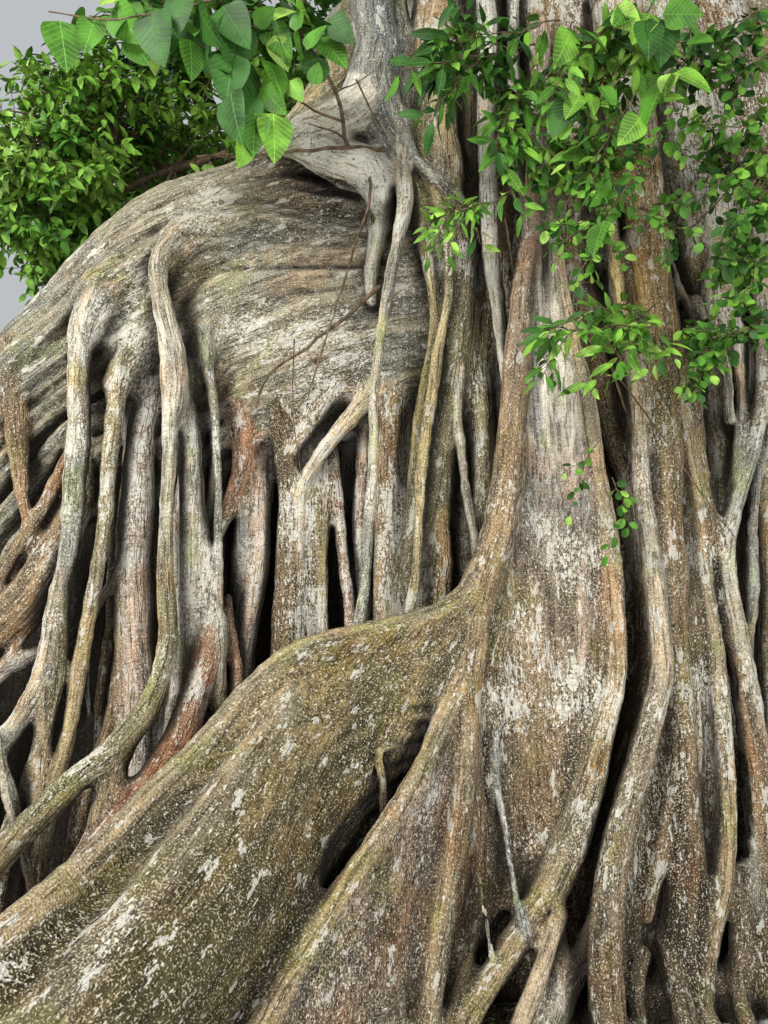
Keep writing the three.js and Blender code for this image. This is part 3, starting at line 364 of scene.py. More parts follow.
        (-1.66, -0.94, 0.78, 0.095), (-1.84, -1.22, 0.5, 0.12), (-2.08, -1.5, 0.24, 0.12),
        (-2.3, -1.74, 0.0, 0.13)]),
    ("small hook", "plates", "tan", 0.1, [(-0.68, -1.15, 1.0, 0.012), (-0.76, -1.22, 0.99, 0.015),
        (-0.75, -1.25, 0.88, 0.016), (-0.74, -1.29, 0.76, 0.018)]),
    ("buttress 2 loop", "plates", "tan", 0.2, [(-0.95, -1.5, 0.36, 0.023), (-0.89, -1.53, 0.28, 0.017),
        (-0.82, -1.55, 0.22, 0.016), (-0.74, -1.52, 0.21, 0.017), (-0.69, -1.46, 0.25, 0.02)]),
]
# The two front buttresses, each with its crest from the trunk outward. Ripples run round a point low on the
# face of the first: its x and z, their spacing and height, and their span.
RIPPLES = dict(heart=(-0.61, 0.52), spacing=0.065, height=0.036, span=(0.22, 0.85))
BUTTRESS_1 = dict(foot=0.33, shoulder=0.35, inner=0.08, flute=0.016, flutes=13.0, rippled=RIPPLES,
                  colour="plate>olive brown>dark olive", lichen=0.22, crest=[
    (-0.29, -0.96, 1.76, 0.041), (-0.41, -1.01, 1.58, 0.049), (-0.55, -1.03, 1.49, 0.044),
    (-0.79, -1.06, 1.42, 0.044), (-1.06, -1.13, 1.34, 0.054), (-1.24, -1.22, 1.20, 0.052),
    (-1.39, -1.37, 1.02, 0.053), (-1.52, -1.53, 0.88, 0.050), (-1.65, -1.75, 0.75, 0.049),
    (-1.77, -2.01, 0.66, 0.049), (-2.10, -2.35, 0.42, 0.052), (-2.75, -2.85, 0.02, 0.05)])
BUTTRESS_2 = dict(foot=0.26, shoulder=0.60, inner=0.06, flute=0.014, flutes=11.0, rippled=None,
                  colour="mauve", lichen=0.75, crest=[
    (-0.44, -1.08, 1.24, 0.036), (-0.53, -1.17, 1.08, 0.036), (-0.62, -1.27, 0.91, 0.034),
    (-0.73, -1.38, 0.77, 0.032), (-0.86, -1.50, 0.62, 0.032), (-0.98, -1.62, 0.47, 0.034),
    (-1.08, -1.74, 0.34, 0.038), (-1.24, -1.98, 0.10, 0.05), (-1.32, -2.10, 0.0, 0.05)])

# Grooves cut into the bark, coloured dark as painted shade: under the first stem's flare, at the front toes
# and at the right edge
GROOVES = [
    [(-1.25, -0.55, 3.6, 0.02), (-1.04, -0.6, 3.53, 0.034), (-0.9, -0.62, 3.45, 0.04),
        (-0.81, -0.6, 3.34, 0.03)],
    [(-0.45, -1.24, 0.16, 0.043), (-0.36, -1.2, 0.24, 0.055), (-0.28, -1.14, 0.34, 0.045)],
    [(0.75, -0.86, 1.0, 0.017), (0.72, -0.92, 0.66, 0.02), (0.67, -0.98, 0.26, 0.016)],
    [(0.68, -0.84, 1.71, 0.013), (0.69, -0.87, 1.38, 0.017), (0.72, -0.88, 1.13, 0.014)],
    [(0.14, -1.14, 0.86, 0.014), (0.06, -1.19, 0.68, 0.018), (0.01, -1.24, 0.55, 0.018),
        (-0.05, -1.3, 0.4, 0.021)],
    [(-0.35, -1.1, 1.03, 0.014), (-0.34, -1.13, 0.83, 0.018), (-0.32, -1.16, 0.62, 0.022),
        (-0.31, -1.18, 0.48, 0.024)],
]
# Scars of lost roots, each a raised ring round a hollow, from its top to its foot
SCAR_FILLET = 0.012
SCARS = [
    ((0.12, -1.06, 0.98, 0.028), (0.08, -1.08, 0.88, 0.028)),
    ((0.13, -1.20, 0.67, 0.023), (0.10, -1.22, 0.60, 0.023)),
    ((0.04, -1.33, 0.37, 0.026), (0.03, -1.36, 0.28, 0.026)),
    ((-0.13, -1.20, 0.43, 0.020), (-0.18, -1.25, 0.38, 0.020)),
]
# Roots behind the named ones, in the gaps under the arch that the picture doesn't show open
FILLING = dict(seed=37, count=30, head=2.75, span=(-2.28, -0.74), y=(-0.40, -0.30), girth=(0.024, 0.055))
OPEN_GAPS = ((-0.99, -0.91), (-1.36, -1.27), (-2.30, -2.12))

# More roots under the arch, where the picture doesn't reach: left of it and all along the back
SIDE_ROOTS = dict(seed=23, front=(-2.75, -4.1), front_count=9, back=(-0.9, -4.0), back_count=22,
                  radius=(0.022, 0.06))
# More fused stems round the sides and the back
BACK_STEMS = dict(seed=29, count=16, start=-0.1, end=3.95, head=5.6, head_radius=0.56, foot_radius=1.12,
                  girth=(0.11, 0.10))

# The sheets of bark between the ribs of the two columns: left and right limb, top, hollow, colours, lichen
COLUMN_FACES = [
    ("column 1 left rib", "column 1 right rib", 3.45, 0.030, "white>chalk>mauve>brown>dark brown", 0.42),
    ("column 2 left rib", "column 2 right rib", 3.10, 0.045, "tan>brown>brown>dark olive", 0.50),
]
FACE_DEPTH = 0.42  # how far a sheet reaches back
FOOT_HOLLOW, FOOT_HOLLOW_TOP = 0.14, 1.3  # how much deeper the sheets are at the ground, and from what level
PLATE_SPREAD = 1.3  # how far along its crest a plate reaches its full thickness


def lerp(a, b, t):
    """The value a share t of the way from a to b."""
    return a + (b - a) * t


def linear(colour):
    """A colour of 0 to 255, as seen, in the linear values that shaders take."""
    share = np.asarray(colour, float) / 255.0
    return np.where(share <= 0.04045, share / 12.92, ((share + 0.055) / 1.055) ** 2.4)


# Smooth noise from a seeded lattice
LATTICE, LATTICE_SEED = 64, 7
lattice = np.random.default_rng(LATTICE_SEED).random((LATTICE, LATTICE, LATTICE)).astype(np.float32)


def noise(x, y, z):
    """Smooth noise from 0 to 1 at any points, with one lattice step per unit."""
    cells, parts = [], []
    for value in np.broadcast_arrays(x, y, z):
        floor = np.floor(value)
        share = (value - floor).astype(np.float32)
        cells.append(floor.astype(np.int32))
        parts.append(share * share * (3 - 2 * share))
    total = 0.0
    for corner in range(8):
        steps = [(corner >> k) & 1 for k in range(3)]
        weight = 1.0
        for share, step in zip(parts, steps):
            weight = weight * (share if step else 1 - share)
        index = tuple((cell + step) % LATTICE for cell, step in zip(cells, steps))
        total = total + weight * lattice[index]
    return total


def smooth_path(points, step=0.07):
    """Points along a smooth curve through the given ones, about a step apart (Catmull-Rom)."""
    p = np.asarray(points, float)
    p = np.vstack([2 * p[0] - p[1], p, 2 * p[-1] - p[-2]])
    out = []
    for i in range(1, len(p) - 2):
        a, b, c, d = p[i - 1], p[i], p[i + 1], p[i + 2]
        count = max(2, int(np.linalg.norm((c - b)[:3]) / step))
        for t in np.arange(count) / count:
            out.append(0.5 * (2 * b + (c - a) * t + (2 * a - 5 * b + 4 * c - d) * t * t
                              + (3 * b - a - 3 * c + d) * t ** 3))
    out.append(p[-2])
    return np.array(out)


def roughen(path, seed, sway=0.012, swell=0.10):
    """The same path with a slight seeded waver and changes of girth, as real roots have."""
    length = np.concatenate([[0], np.cumsum(np.linalg.norm(np.diff(path[:, :3], axis=0), axis=1))])
    out = path.copy()
    for axis in range(3):
        out[:, axis] += sway * 2 * (noise(length / 0.28, seed * 3.7, axis * 5.1) - 0.5)
    out[:, 3] *= 1 + swell * 2 * (noise(length / 0.16, seed * 1.3, 9.4) - 0.5)
    return out


class Field:
    """A block of space that holds the distance to the bark, and which limb is nearest."""

    def __init__(self, low, high, voxel):
        self.voxel = voxel
        self.low = np.array(low) - (0, 0, 2 * voxel)
        self.shape = np.ceil((np.array(high) - self.low) / voxel).astype(int) + 1
        self.far = 3.0 * voxel + 0.3
        self.distance = np.full(self.shape, self.far, np.float32)
        self.owner = np.zeros(self.shape, np.int16)

    def window(self, low, high):
        """The slices of a box, and its x, y and z as arrays that broadcast. None if it is outside."""
        start = np.maximum(np.floor((np.array(low) - self.low) / self.voxel).astype(int), 0)
        stop = np.minimum(np.ceil((np.array(high) - self.low) / self.voxel).astype(int) + 1, self.shape)
        if np.any(stop <= start):
            return None
        slices = tuple(slice(a, b) for a, b in zip(start, stop))
        axes = (self.low[k] + self.voxel * np.arange(start[k], stop[k]) for k in range(3))
        x, y, z = (axis.astype(np.float32) for axis in axes)
        return slices, x[:, None, None], y[None, :, None], z[None, None, :]

    def join(self, slices, distance, owner, fillet):
        """Adds a solid to the field, with a fillet where it meets what is there."""
        old = self.distance[slices]
        near = distance < old
        self.owner[slices][near] = owner
        share = np.maximum(fillet - np.abs(old - distance), 0) / fillet
        self.distance[slices] = np.minimum(old, distance) - share * share * fillet / 4

    def carve(self, slices, distance):
        """Takes a solid away from the field."""
        self.distance[slices] = np.maximum(self.distance[slices], -distance)

    def tube(self, path, margin):
        """The slices round a path of (x, y, z, radius), their z, and the distance to the limb along it."""
        reach = path[:, 3].max() + margin + 2 * self.voxel
        found = self.window((path[:, :3] - reach).min(0), (path[:, :3] + reach).max(0))
        if found is None:
            return None
        slices, _, _, z = found
        origin = np.array([s.start for s in slices])
        local = np.full([s.stop - s.start for s in slices], self.far, np.float32)
        for a, b in zip(path[:-1], path[1:]):
            part = self.window(np.minimum(a, b)[:3] - reach, np.maximum(a, b)[:3] + reach)
            if part is None:
                continue
            where, px, py, pz = part
            inner = tuple(slice(s.start - o, s.stop - o) for s, o in zip(where, origin))
            way = (b - a)[:3]
            square = max(float(way @ way), 1e-9)
            t = ((px - a[0]) * way[0] + (py - a[1]) * way[1] + (pz - a[2]) * way[2]) / square
            t = np.clip(t, 0, 1)
            gap = np.sqrt((px - a[0] - t * way[0]) ** 2 + (py - a[1] - t * way[1]) ** 2
                          + (pz - a[2] - t * way[2]) ** 2)
            local[inner] = np.minimum(local[inner], gap - (a[3] + t * (b[3] - a[3])))
        return slices, z, local

    def limb(self, path, owner, fillet=FILLET, high_fillet=None):
        """A round limb along a path. Its fillet may widen to high_fillet up at the slab."""
        found = self.tube(path, max(fillet, high_fillet or 0))
        if found:
            slices, z, local = found
            if high_fillet:
                low, high = SLAB_FILLET_LEVELS
                fillet = lerp(fillet, high_fillet, np.clip((z - low) / (high - low), 0, 1))
            self.join(slices, local, owner, fillet)

    def groove(self, path, owner):
        """A round groove cut along a path. Its owner colours the surface it cuts, which for the grooves is
        painted shade.
        """
        found = self.tube(path, 0.02)
        if found:
            slices, _, local = found
            old = self.distance[slices]
            self.owner[slices][-local > old] = owner
            self.distance[slices] = np.maximum(old, -local)


def plan_nearest(x, y, path):
    """For columns of space at x and y: the distance in plan to a path, the side, and the share along it."""
    best = np.full(np.broadcast(x, y).shape, 1e9, np.float32)
    share = np.zeros_like(best)
    side = np.zeros_like(best)
    pieces = len(path) - 1
    for i, (a, b) in enumerate(zip(path[:-1], path[1:])):
        way = (b - a)[:2]
        square = max(float(way @ way), 1e-9)
        t = np.clip(((x - a[0]) * way[0] + (y - a[1]) * way[1]) / square, 0, 1)
        dx, dy = x - a[0] - t * way[0], y - a[1] - t * way[1]
        gap = np.sqrt(dx * dx + dy * dy)
        near = gap < best
        best = np.where(near, gap, best)
        share = np.where(near, (i + t) / pieces, share)
        side = np.where(near, np.sign(way[0] * dy - way[1] * dx), side)
    return best, side, share


def plate_under(field, crest, owner, foot, shoulder, flute, flutes, inner=1.0, seed=0.0, rippled=None):
    """A plate from its crest down to the ground, with flutes that fan out from its inner end.

    It thickens by foot, most of it within the depth shoulder under the crest, but only by the share inner
    at the inner end, and fully from PLATE_SPREAD on.
    """
    reach = foot + 0.15
    low = (crest[:, 0].min() - reach, crest[:, 1].min() - reach, 0)
    high = (crest[:, 0].max() + reach, crest[:, 1].max() + reach, crest[:, 2].max() + 0.1)
    found = field.window(low, high)
    if found is None:
        return
    slices, x, y, z = found
    gap, side, share = plan_nearest(x, y, crest)
    spot = share * (len(crest) - 1)
    steps = np.arange(len(crest))
    top = np.interp(spot, steps, crest[:, 2])
    girth = np.interp(spot, steps, crest[:, 3])
    length = np.concatenate([[0], np.cumsum(np.linalg.norm(np.diff(crest[:, :2], axis=0), axis=1))])
    along = np.interp(spot, steps, length)
    depth = np.maximum(top - z, 0)
    spread = lerp(inner, 1.0, np.clip(along / PLATE_SPREAD, 0, 1) ** 1.4)
    half = 0.8 * girth + foot * spread * (1 - np.exp(-depth / shoulder))
    turn = np.arctan2(crest[0, 2] + 0.15 - z, along + 0.25)
    wave = np.cos(flutes * turn + 2.6 * noise(along * 1.6, depth * 1.2, seed + side * 3.0))
    fade = np.clip(depth / 0.15, 0, 1) * np.clip(along / 0.25, 0, 1)
    half = half + flute * wave * fade
    if rippled:
        away = np.hypot(x - rippled["heart"][0], z - rippled["heart"][1])
        near, far = rippled["span"]
        ridge = np.abs(np.sin(np.pi * (away + 0.10 * noise(x * 3, z * 3, 5.5)) / rippled["spacing"])) ** 0.7
        window = np.clip((away - near) / 0.1, 0, 1) * np.clip((far - away) / 0.25, 0, 1)
        strength = window * lerp(0.2, 1, noise(x * 4, z * 4, 9.5)) * fade
        half = half + rippled["height"] * (ridge - 0.7) * strength
    field.join(slices, np.maximum(gap - half, z - top + 0.3 * girth), owner, FILLET)


def arch_crest(share):
    """The height of the arch's crest at a share of its length."""
    fall = np.clip((share - ARCH["shoulder"]) / (1 - ARCH["shoulder"]), 0, 1)
    dip = ARCH_DIP["deep"] * np.exp(-((share - ARCH_DIP["share"]) / ARCH_DIP["width"]) ** 2)
    return ARCH["height"] * (0.5 + 0.5 * np.cos(np.pi * fall)) ** ARCH["power"] - dip


def plan_curve(start, end, bow, count=24):
    """The plan of a plate: from start to end with a bow, as points with room for height and girth."""
    share = np.linspace(0, 1, count)
    way = np.array(end) - start
    square = np.array([-way[1], way[0]]) / np.linalg.norm(way)
    plan = np.array(start) + share[:, None] * way + bow * np.sin(np.pi * share)[:, None] * square
    return share, np.column_stack([plan, np.zeros(count), np.zeros(count)])


def arch_at(x):
    """The share along the arch at a given x, and the y of its middle line there."""
    share = (x - ARCH["start"][0]) / (ARCH["end"][0] - ARCH["start"][0])
    return share, lerp(ARCH["start"][1], ARCH["end"][1], share) - ARCH["bow"] * np.sin(np.pi * share)


def add_arch(field, slab_owner, web_owner):
    """The high arch: a thick wrinkled slab under its crest, and a thin web set back below it."""
    _, plan = plan_curve(ARCH["start"], ARCH["end"], ARCH["bow"])
    found = field.window((-5.1, -0.9, 0), (0.1, 0.9, ARCH["height"] + 0.2))
    if found is None:
        return
    slices, x, y, z = found
    gap, side, along = plan_nearest(x, y, plan)
    top = arch_crest(along)
    depth = top - z
    level = z / np.maximum(top, 0.2)
    # The slab is round at its crest and rounded again at its lower edge
    upper = np.sqrt(np.clip(1 - np.clip(1 - depth / 0.55, 0, 1) ** 2, 0, 1))
    lower = np.clip((level - ARCH_SLAB["low_edge"] + 0.06) / 0.16, 0, 1)
    thick = ARCH_SLAB["thick"] * (0.32 + 0.68 * upper) * (lower * (2 - lower)) ** 0.5
    away = np.hypot(x - SLAB_HEART[0], z - SLAB_HEART[1])
    wander = 0.34 * noise(x * 1.2, z * 1.2, 3.0 + side) + 0.05 * noise(x * 5, z * 5, 8.0 + side)
    folds = 0.12 * (noise(x * 1.9, z * 1.9, 5.0 + side) - 0.5)
    for spacing, height in SLAB_FOLDS:
        ridge = np.abs(np.sin(np.pi * (away + wander) / spacing)) ** 0.7
        folds = folds + height * (ridge - 0.7) * lerp(0.25, 1, noise(x * 2.3, z * 2.3, 17.0 + spacing))
    folds = folds * np.clip(depth / 0.5, 0.12, 1) * np.clip((-0.62 - x) / 0.45, 0.22, 1)
    slab = np.maximum(gap - thick - folds, z - top)
    slab = np.where(level > ARCH_SLAB["low_edge"] - 0.07, slab, np.maximum(slab, 0.05))
    field.join(slices, slab.astype(np.float32), slab_owner, 0.03)
    # The web stands behind the middle line, so the roots in front of it stand clear; its near-black colour is
    # painted shade
    offset = np.where(side >= 0, gap, -gap)
    middle = -ARCH_SLAB["web_back"] * 0.2
    thick = ARCH_SLAB["web"] + ARCH_SLAB["foot"] * np.clip(1 - level / 0.25, 0, 1) ** 2
    web = np.maximum(np.abs(offset - middle) - thick, z - top * 0.75)
    field.join(slices, web.astype(np.float32), web_owner, 0.04)


def add_core(field, owner):
    """The trunk's heart, with shallow flutes and its flare at the ground."""
    found = field.window((-1.3, -1.3, 0), (1.5, 1.5, CORE["top"] + 0.3))
    if found is None:
        return
    slices, x, y, z = found
    share = np.clip(z / CORE["top"], 0, 1)
    radius = lerp(CORE["waist"], CORE["tip"], share ** CORE["taper"])
    radius = radius + CORE["flare"] * np.exp(-np.maximum(z, 0) / CORE["flare_height"])
    dx, dy = x - CORE["lean"][0] * share, y - CORE["lean"][1] * share
    turn = np.arctan2(dy, dx)
    flutes = 0.035 * np.cos(9 * turn + 1.5 * np.sin(z * 0.8)) + 0.02 * np.cos(17 * turn - z * 0.6)
    body = np.sqrt(dx * dx + dy * dy) - radius - flutes
    cap = np.sqrt(dx * dx + dy * dy + (z - CORE["top"]) ** 2 * 1.5) - CORE["tip"]
    body = np.where(z > CORE["top"], cap, body)
    field.join(slices, body.astype(np.float32), owner, FILLET)


def add_face(field, left, right, top, hollow, owner):
    """The sheet of bark between two ribs, slightly hollow, and solid behind."""
    low = np.minimum(left.min(0), right.min(0))[:3]
    high = np.maximum(left.max(0), right.max(0))[:3]
    found = field.window(low - (0.02, 0.12, 0), (high[0] + 0.02, high[1] + FACE_DEPTH, top + 0.1))
    if found is None:
        return
    slices, x, y, z = found
    rows = {}
    for name, rib in (("left", left), ("right", right)):
        order = np.argsort(rib[:, 2])
        rows[name] = [np.interp(z, rib[order, 2], rib[order, k]) for k in (0, 1)]
    (x1, y1), (x2, y2) = rows["left"], rows["right"]
    width = np.maximum(x2 - x1, 0.03)
    u = (x - x1) / width
    inside = np.clip(u, 0, 1)
    deep = hollow + FOOT_HOLLOW * np.clip(1 - z / FOOT_HOLLOW_TOP, 0, 1)
    front = lerp(y1, y2, inside) + deep * np.sin(np.pi * inside) * np.clip(width / 0.3, 0.3, 1)
    front = front + 0.012 * (noise(inside * 5, z * 1.4, 2.0) - 0.5) + 0.006 * np.cos(inside * 21)
    sideways = np.maximum(x1 - x, x - x2)
    sheet = np.maximum(np.maximum(front - y, y - front - FACE_DEPTH), sideways)
    sheet = np.maximum(sheet, z - top)
    field.join(slices, sheet.astype(np.float32), owner, 0.035)


# Every limb and plate, with its group and colours, in the order of its number
owners = []


def owner_of(group, colours, lichen, path=None, flow=None, top=3.5):
    """A new owner. Its colours, joined by >, follow each other along its path, or down from its top."""
    names = colours.split(">")
    owners.append(dict(group=group, colours=linear([BARK[name] for name in names]), lichen=lichen, path=path,
                       flow=flow, top=top))
    return len(owners) - 1


def side_roots():
    """The seeded roots that the picture doesn't show, down both sides of the arch."""
    draw = np.random.default_rng(SIDE_ROOTS["seed"])
    out = []
    for side, span, count in ((-1, SIDE_ROOTS["front"], SIDE_ROOTS["front_count"]),
                              (1, SIDE_ROOTS["back"], SIDE_ROOTS["back_count"])):
        for i in range(count):
            x = lerp(*span, (i + 0.5 + 0.5 * (draw.random() - 0.5)) / count)
            share, middle = arch_at(x)
            top = arch_crest(share)
            girth = lerp(*SIDE_ROOTS["radius"], draw.random() ** 1.5)
            head = top * lerp(0.6, 0.82, draw.random())
            face = middle + side * (ARCH_SLAB["thick"] + 0.5 * girth)
            sway = 0.12 * (draw.random() - 0.5)
            out_foot = 0.12 + 0.3 * draw.random()
            path = [(x, middle + side * 0.2, head, girth), (x + 0.02, face + side * 0.04, head - 0.14, girth)]
            for t in (0.35, 0.65, 1.0):
                z = lerp(head - 0.14, 0, t)
                path.append((x + sway * math.sin(5 * t) + 0.12 * (draw.random() - 0.5),
                             face + side * (0.04 + out_foot * t * t), z, girth * lerp(1, 1.5, t)))
            out.append((path, ["grey", "tan", "brown", "pale tan"][int(4 * draw.random())], draw.random()))
    return out


def back_stems():
    """The seeded stems round the sides and the back, from their heads to the ground."""
    draw = np.random.default_rng(BACK_STEMS["seed"])
    out = []
    for i in range(BACK_STEMS["count"]):
        turn = lerp(BACK_STEMS["start"], BACK_STEMS["end"], i / (BACK_STEMS["count"] - 1))
        c, s = math.cos(turn), math.sin(turn)
        girth = lerp(0.6, 1.25, draw.random())
        path = []
        for t in (0, 0.25, 0.5, 0.75, 1):
            away = lerp(BACK_STEMS["head_radius"], BACK_STEMS["foot_radius"], t ** 2)
            away += 0.05 * (draw.random() - 0.5)
            sideways = 0.16 * (draw.random() - 0.5)
            lean = CORE["lean"][0] / 2 * (1 - t)
            z = BACK_STEMS["head"] * (1 - t)
            path.append((away * c - sideways * s + lean, away * s + sideways * c + lean, z,
                         girth * lerp(*BACK_STEMS["girth"], t)))
        out.append((path, ["grey", "tan", "brown", "olive"][i % 4], 0.3 + 0.5 * draw.random()))
    return out


def filling_roots():
    """The seeded roots in the gaps behind the named ones, except where a gap is open."""
    draw = np.random.default_rng(FILLING["seed"])
    out = []
    for i in range(FILLING["count"]):
        x = lerp(*FILLING["span"], (i + draw.random()) / FILLING["count"])
        girth = lerp(*FILLING["girth"], draw.random() ** 1.5)
        y = lerp(*FILLING["y"], draw.random()) - 0.3 * girth
        colour = ["pink", "russet", "dark brown", "brown", "white"][draw.integers(5)]
        lean = 0.12 * (draw.random() - 0.5)
        path = [(x + lean * (1 - t) ** 2 + 0.05 * (draw.random() - 0.5), y - 0.12 * t * t,
                 lerp(FILLING["head"], 0.0, t), girth * lerp(0.8, 1.5, t)) for t in (0, 0.3, 0.6, 1)]
        if not any(low < px < high for low, high in OPEN_GAPS for px in (path[1][0], path[2][0])):
            out.append((path, colour, 0.3 + 0.6 * draw.random()))
    return out


# The crown's rule, as in the source: tiers of boughs, each with one mass of leaves at its tip
GOLDEN_ANGLE = math.pi * (3 - math.sqrt(5))
TIERS = [
    dict(name="low", count=6, fork=4.9, turn=0.04, reach=5.5, rise=7.5,
         size=(2.7, 1.85), girth=(0.30, 0.085)),
    dict(name="middle", count=5, fork=6.7, turn=0.6, reach=3.4, rise=10.5,
         size=(2.4, 1.95), girth=(0.23, 0.075)),
    dict(name="top", count=4, fork=8.15, turn=0.2, reach=1.7, rise=13.1,
         size=(1.95, 1.9), girth=(0.15, 0.06)),
]
TIER_SEED = 41
BOUGH_INTO_MASS = 0.45
SPRAYS = [
    dict(name="spray_front_right", root=(0.45, -0.45, 4.7), middle=np.array([0.52, -1.5, 3.3]),
         size=np.array([0.9, 0.62, 0.85]), seed=311),
    dict(name="spray_front_left", root=(-0.56, -0.25, 4.65), middle=np.array([-1.3, -1.13, 4.15]),
         size=np.array([0.8, 0.48, 0.52]), seed=312),
    dict(name="spray_back_left", root=(-0.3, 0.3, 4.7), middle=np.array([-2.9, 2.3, 5.0]),
         size=np.array([1.9, 1.3, 1.3]), seed=313),
]
TWIG_COUNT, TWIG_OUT = 5, 0.6


def random_from(seed):
    """The source's seeded numbers from 0 to 1 (the Park-Miller rule)."""
    state = seed
    while True:
        state = (state * 16807) % 2147483647
        yield state / 2147483647


def crown():
    """The boughs and the masses of leaves at their tips, ring by ring."""
    draws = random_from(TIER_SEED)
    boughs, masses = [], []
    for level, tier in enumerate(TIERS):
        for i in range(tier["count"]):
            turn = tier["turn"] + 2 * math.pi * (i + 0.25 * (next(draws) - 0.5)) / tier["count"]
            reach = tier["reach"] * (1 + 0.16 * (next(draws) - 0.5))
            rise = tier["rise"] + 0.7 * (next(draws) - 0.5)
            fork = tier["fork"] + 0.5 * (next(draws) - 0.5)
            c, s = math.cos(turn), math.sin(turn)
            x, y = (lean * fork / CORE["top"] for lean in CORE["lean"])
            tip = reach - tier["size"][0] * (1 - BOUGH_INTO_MASS)
            bough = dict(
                name=f"bough_{tier['name']}_{i + 1}",
                start=np.array([x, y, fork]),
                end=np.array([x + tip * c, y + tip * s, lerp(fork, rise, 0.86)]),
                bow=(-s * 0.26 * (next(draws) - 0.5), c * 0.26 * (next(draws) - 0.5), 0.26),
                girth=tier["girth"])
            boughs.append(bough)
            masses.append(dict(
                name=f"leaves_{tier['name']}_{i + 1}", tier=tier["name"], bough=bough,
                middle=np.array([x + reach * c, y + reach * s, rise]),
                size=np.array([tier["size"][0], tier["size"][0], tier["size"][1]]),
                seed=100 * (level + 1) + 7 * i + 3))
    return boughs, masses


def bough_path(bough, count=28):
    """A bough's path from the trunk to its mass, bowed up and tapering."""
    t = np.linspace(0, 1, count)
    start, end, bow = bough["start"], bough["end"], bough["bow"]
    side = np.sin(2 * np.pi * t)
    return np.column_stack([
        lerp(start[0], end[0], t) + bow[0] * side,
        lerp(start[1], end[1], t) + bow[1] * side,
        lerp(start[2], end[2], t ** 0.85) + bow[2] * np.sin(np.pi * t),
        lerp(bough["girth"][0], bough["girth"][1], t ** 0.8)])


def outness(mass, points):
    """How far out points are in a mass: 0 in its middle and 1 on the outside of its space."""
    return np.linalg.norm((points - mass["middle"]) / mass["size"], axis=-1)


def is_own(mass, points, masses):
    """Which points lie in a mass's own space and well clear of the others'."""
    own = outness(mass, points)
    free = own < 1.02
    for other in masses:
        if other is not mass:
            free &= outness(other, points) > own + 0.05
    return free


boughs, masses = crown()

# Seeds of the limbs' waver, kind by kind
ROOT_SEED, STEM_SEED, BOUGH_SEED, PLATE_SEED, BACK_PLATE_SEED = 100, 200, 300, 50, 60
SLAB_TURN, PLATE_FAN = 3.2, 1.1  # how far the streaks run on round the slab's heart, and spread over a plate


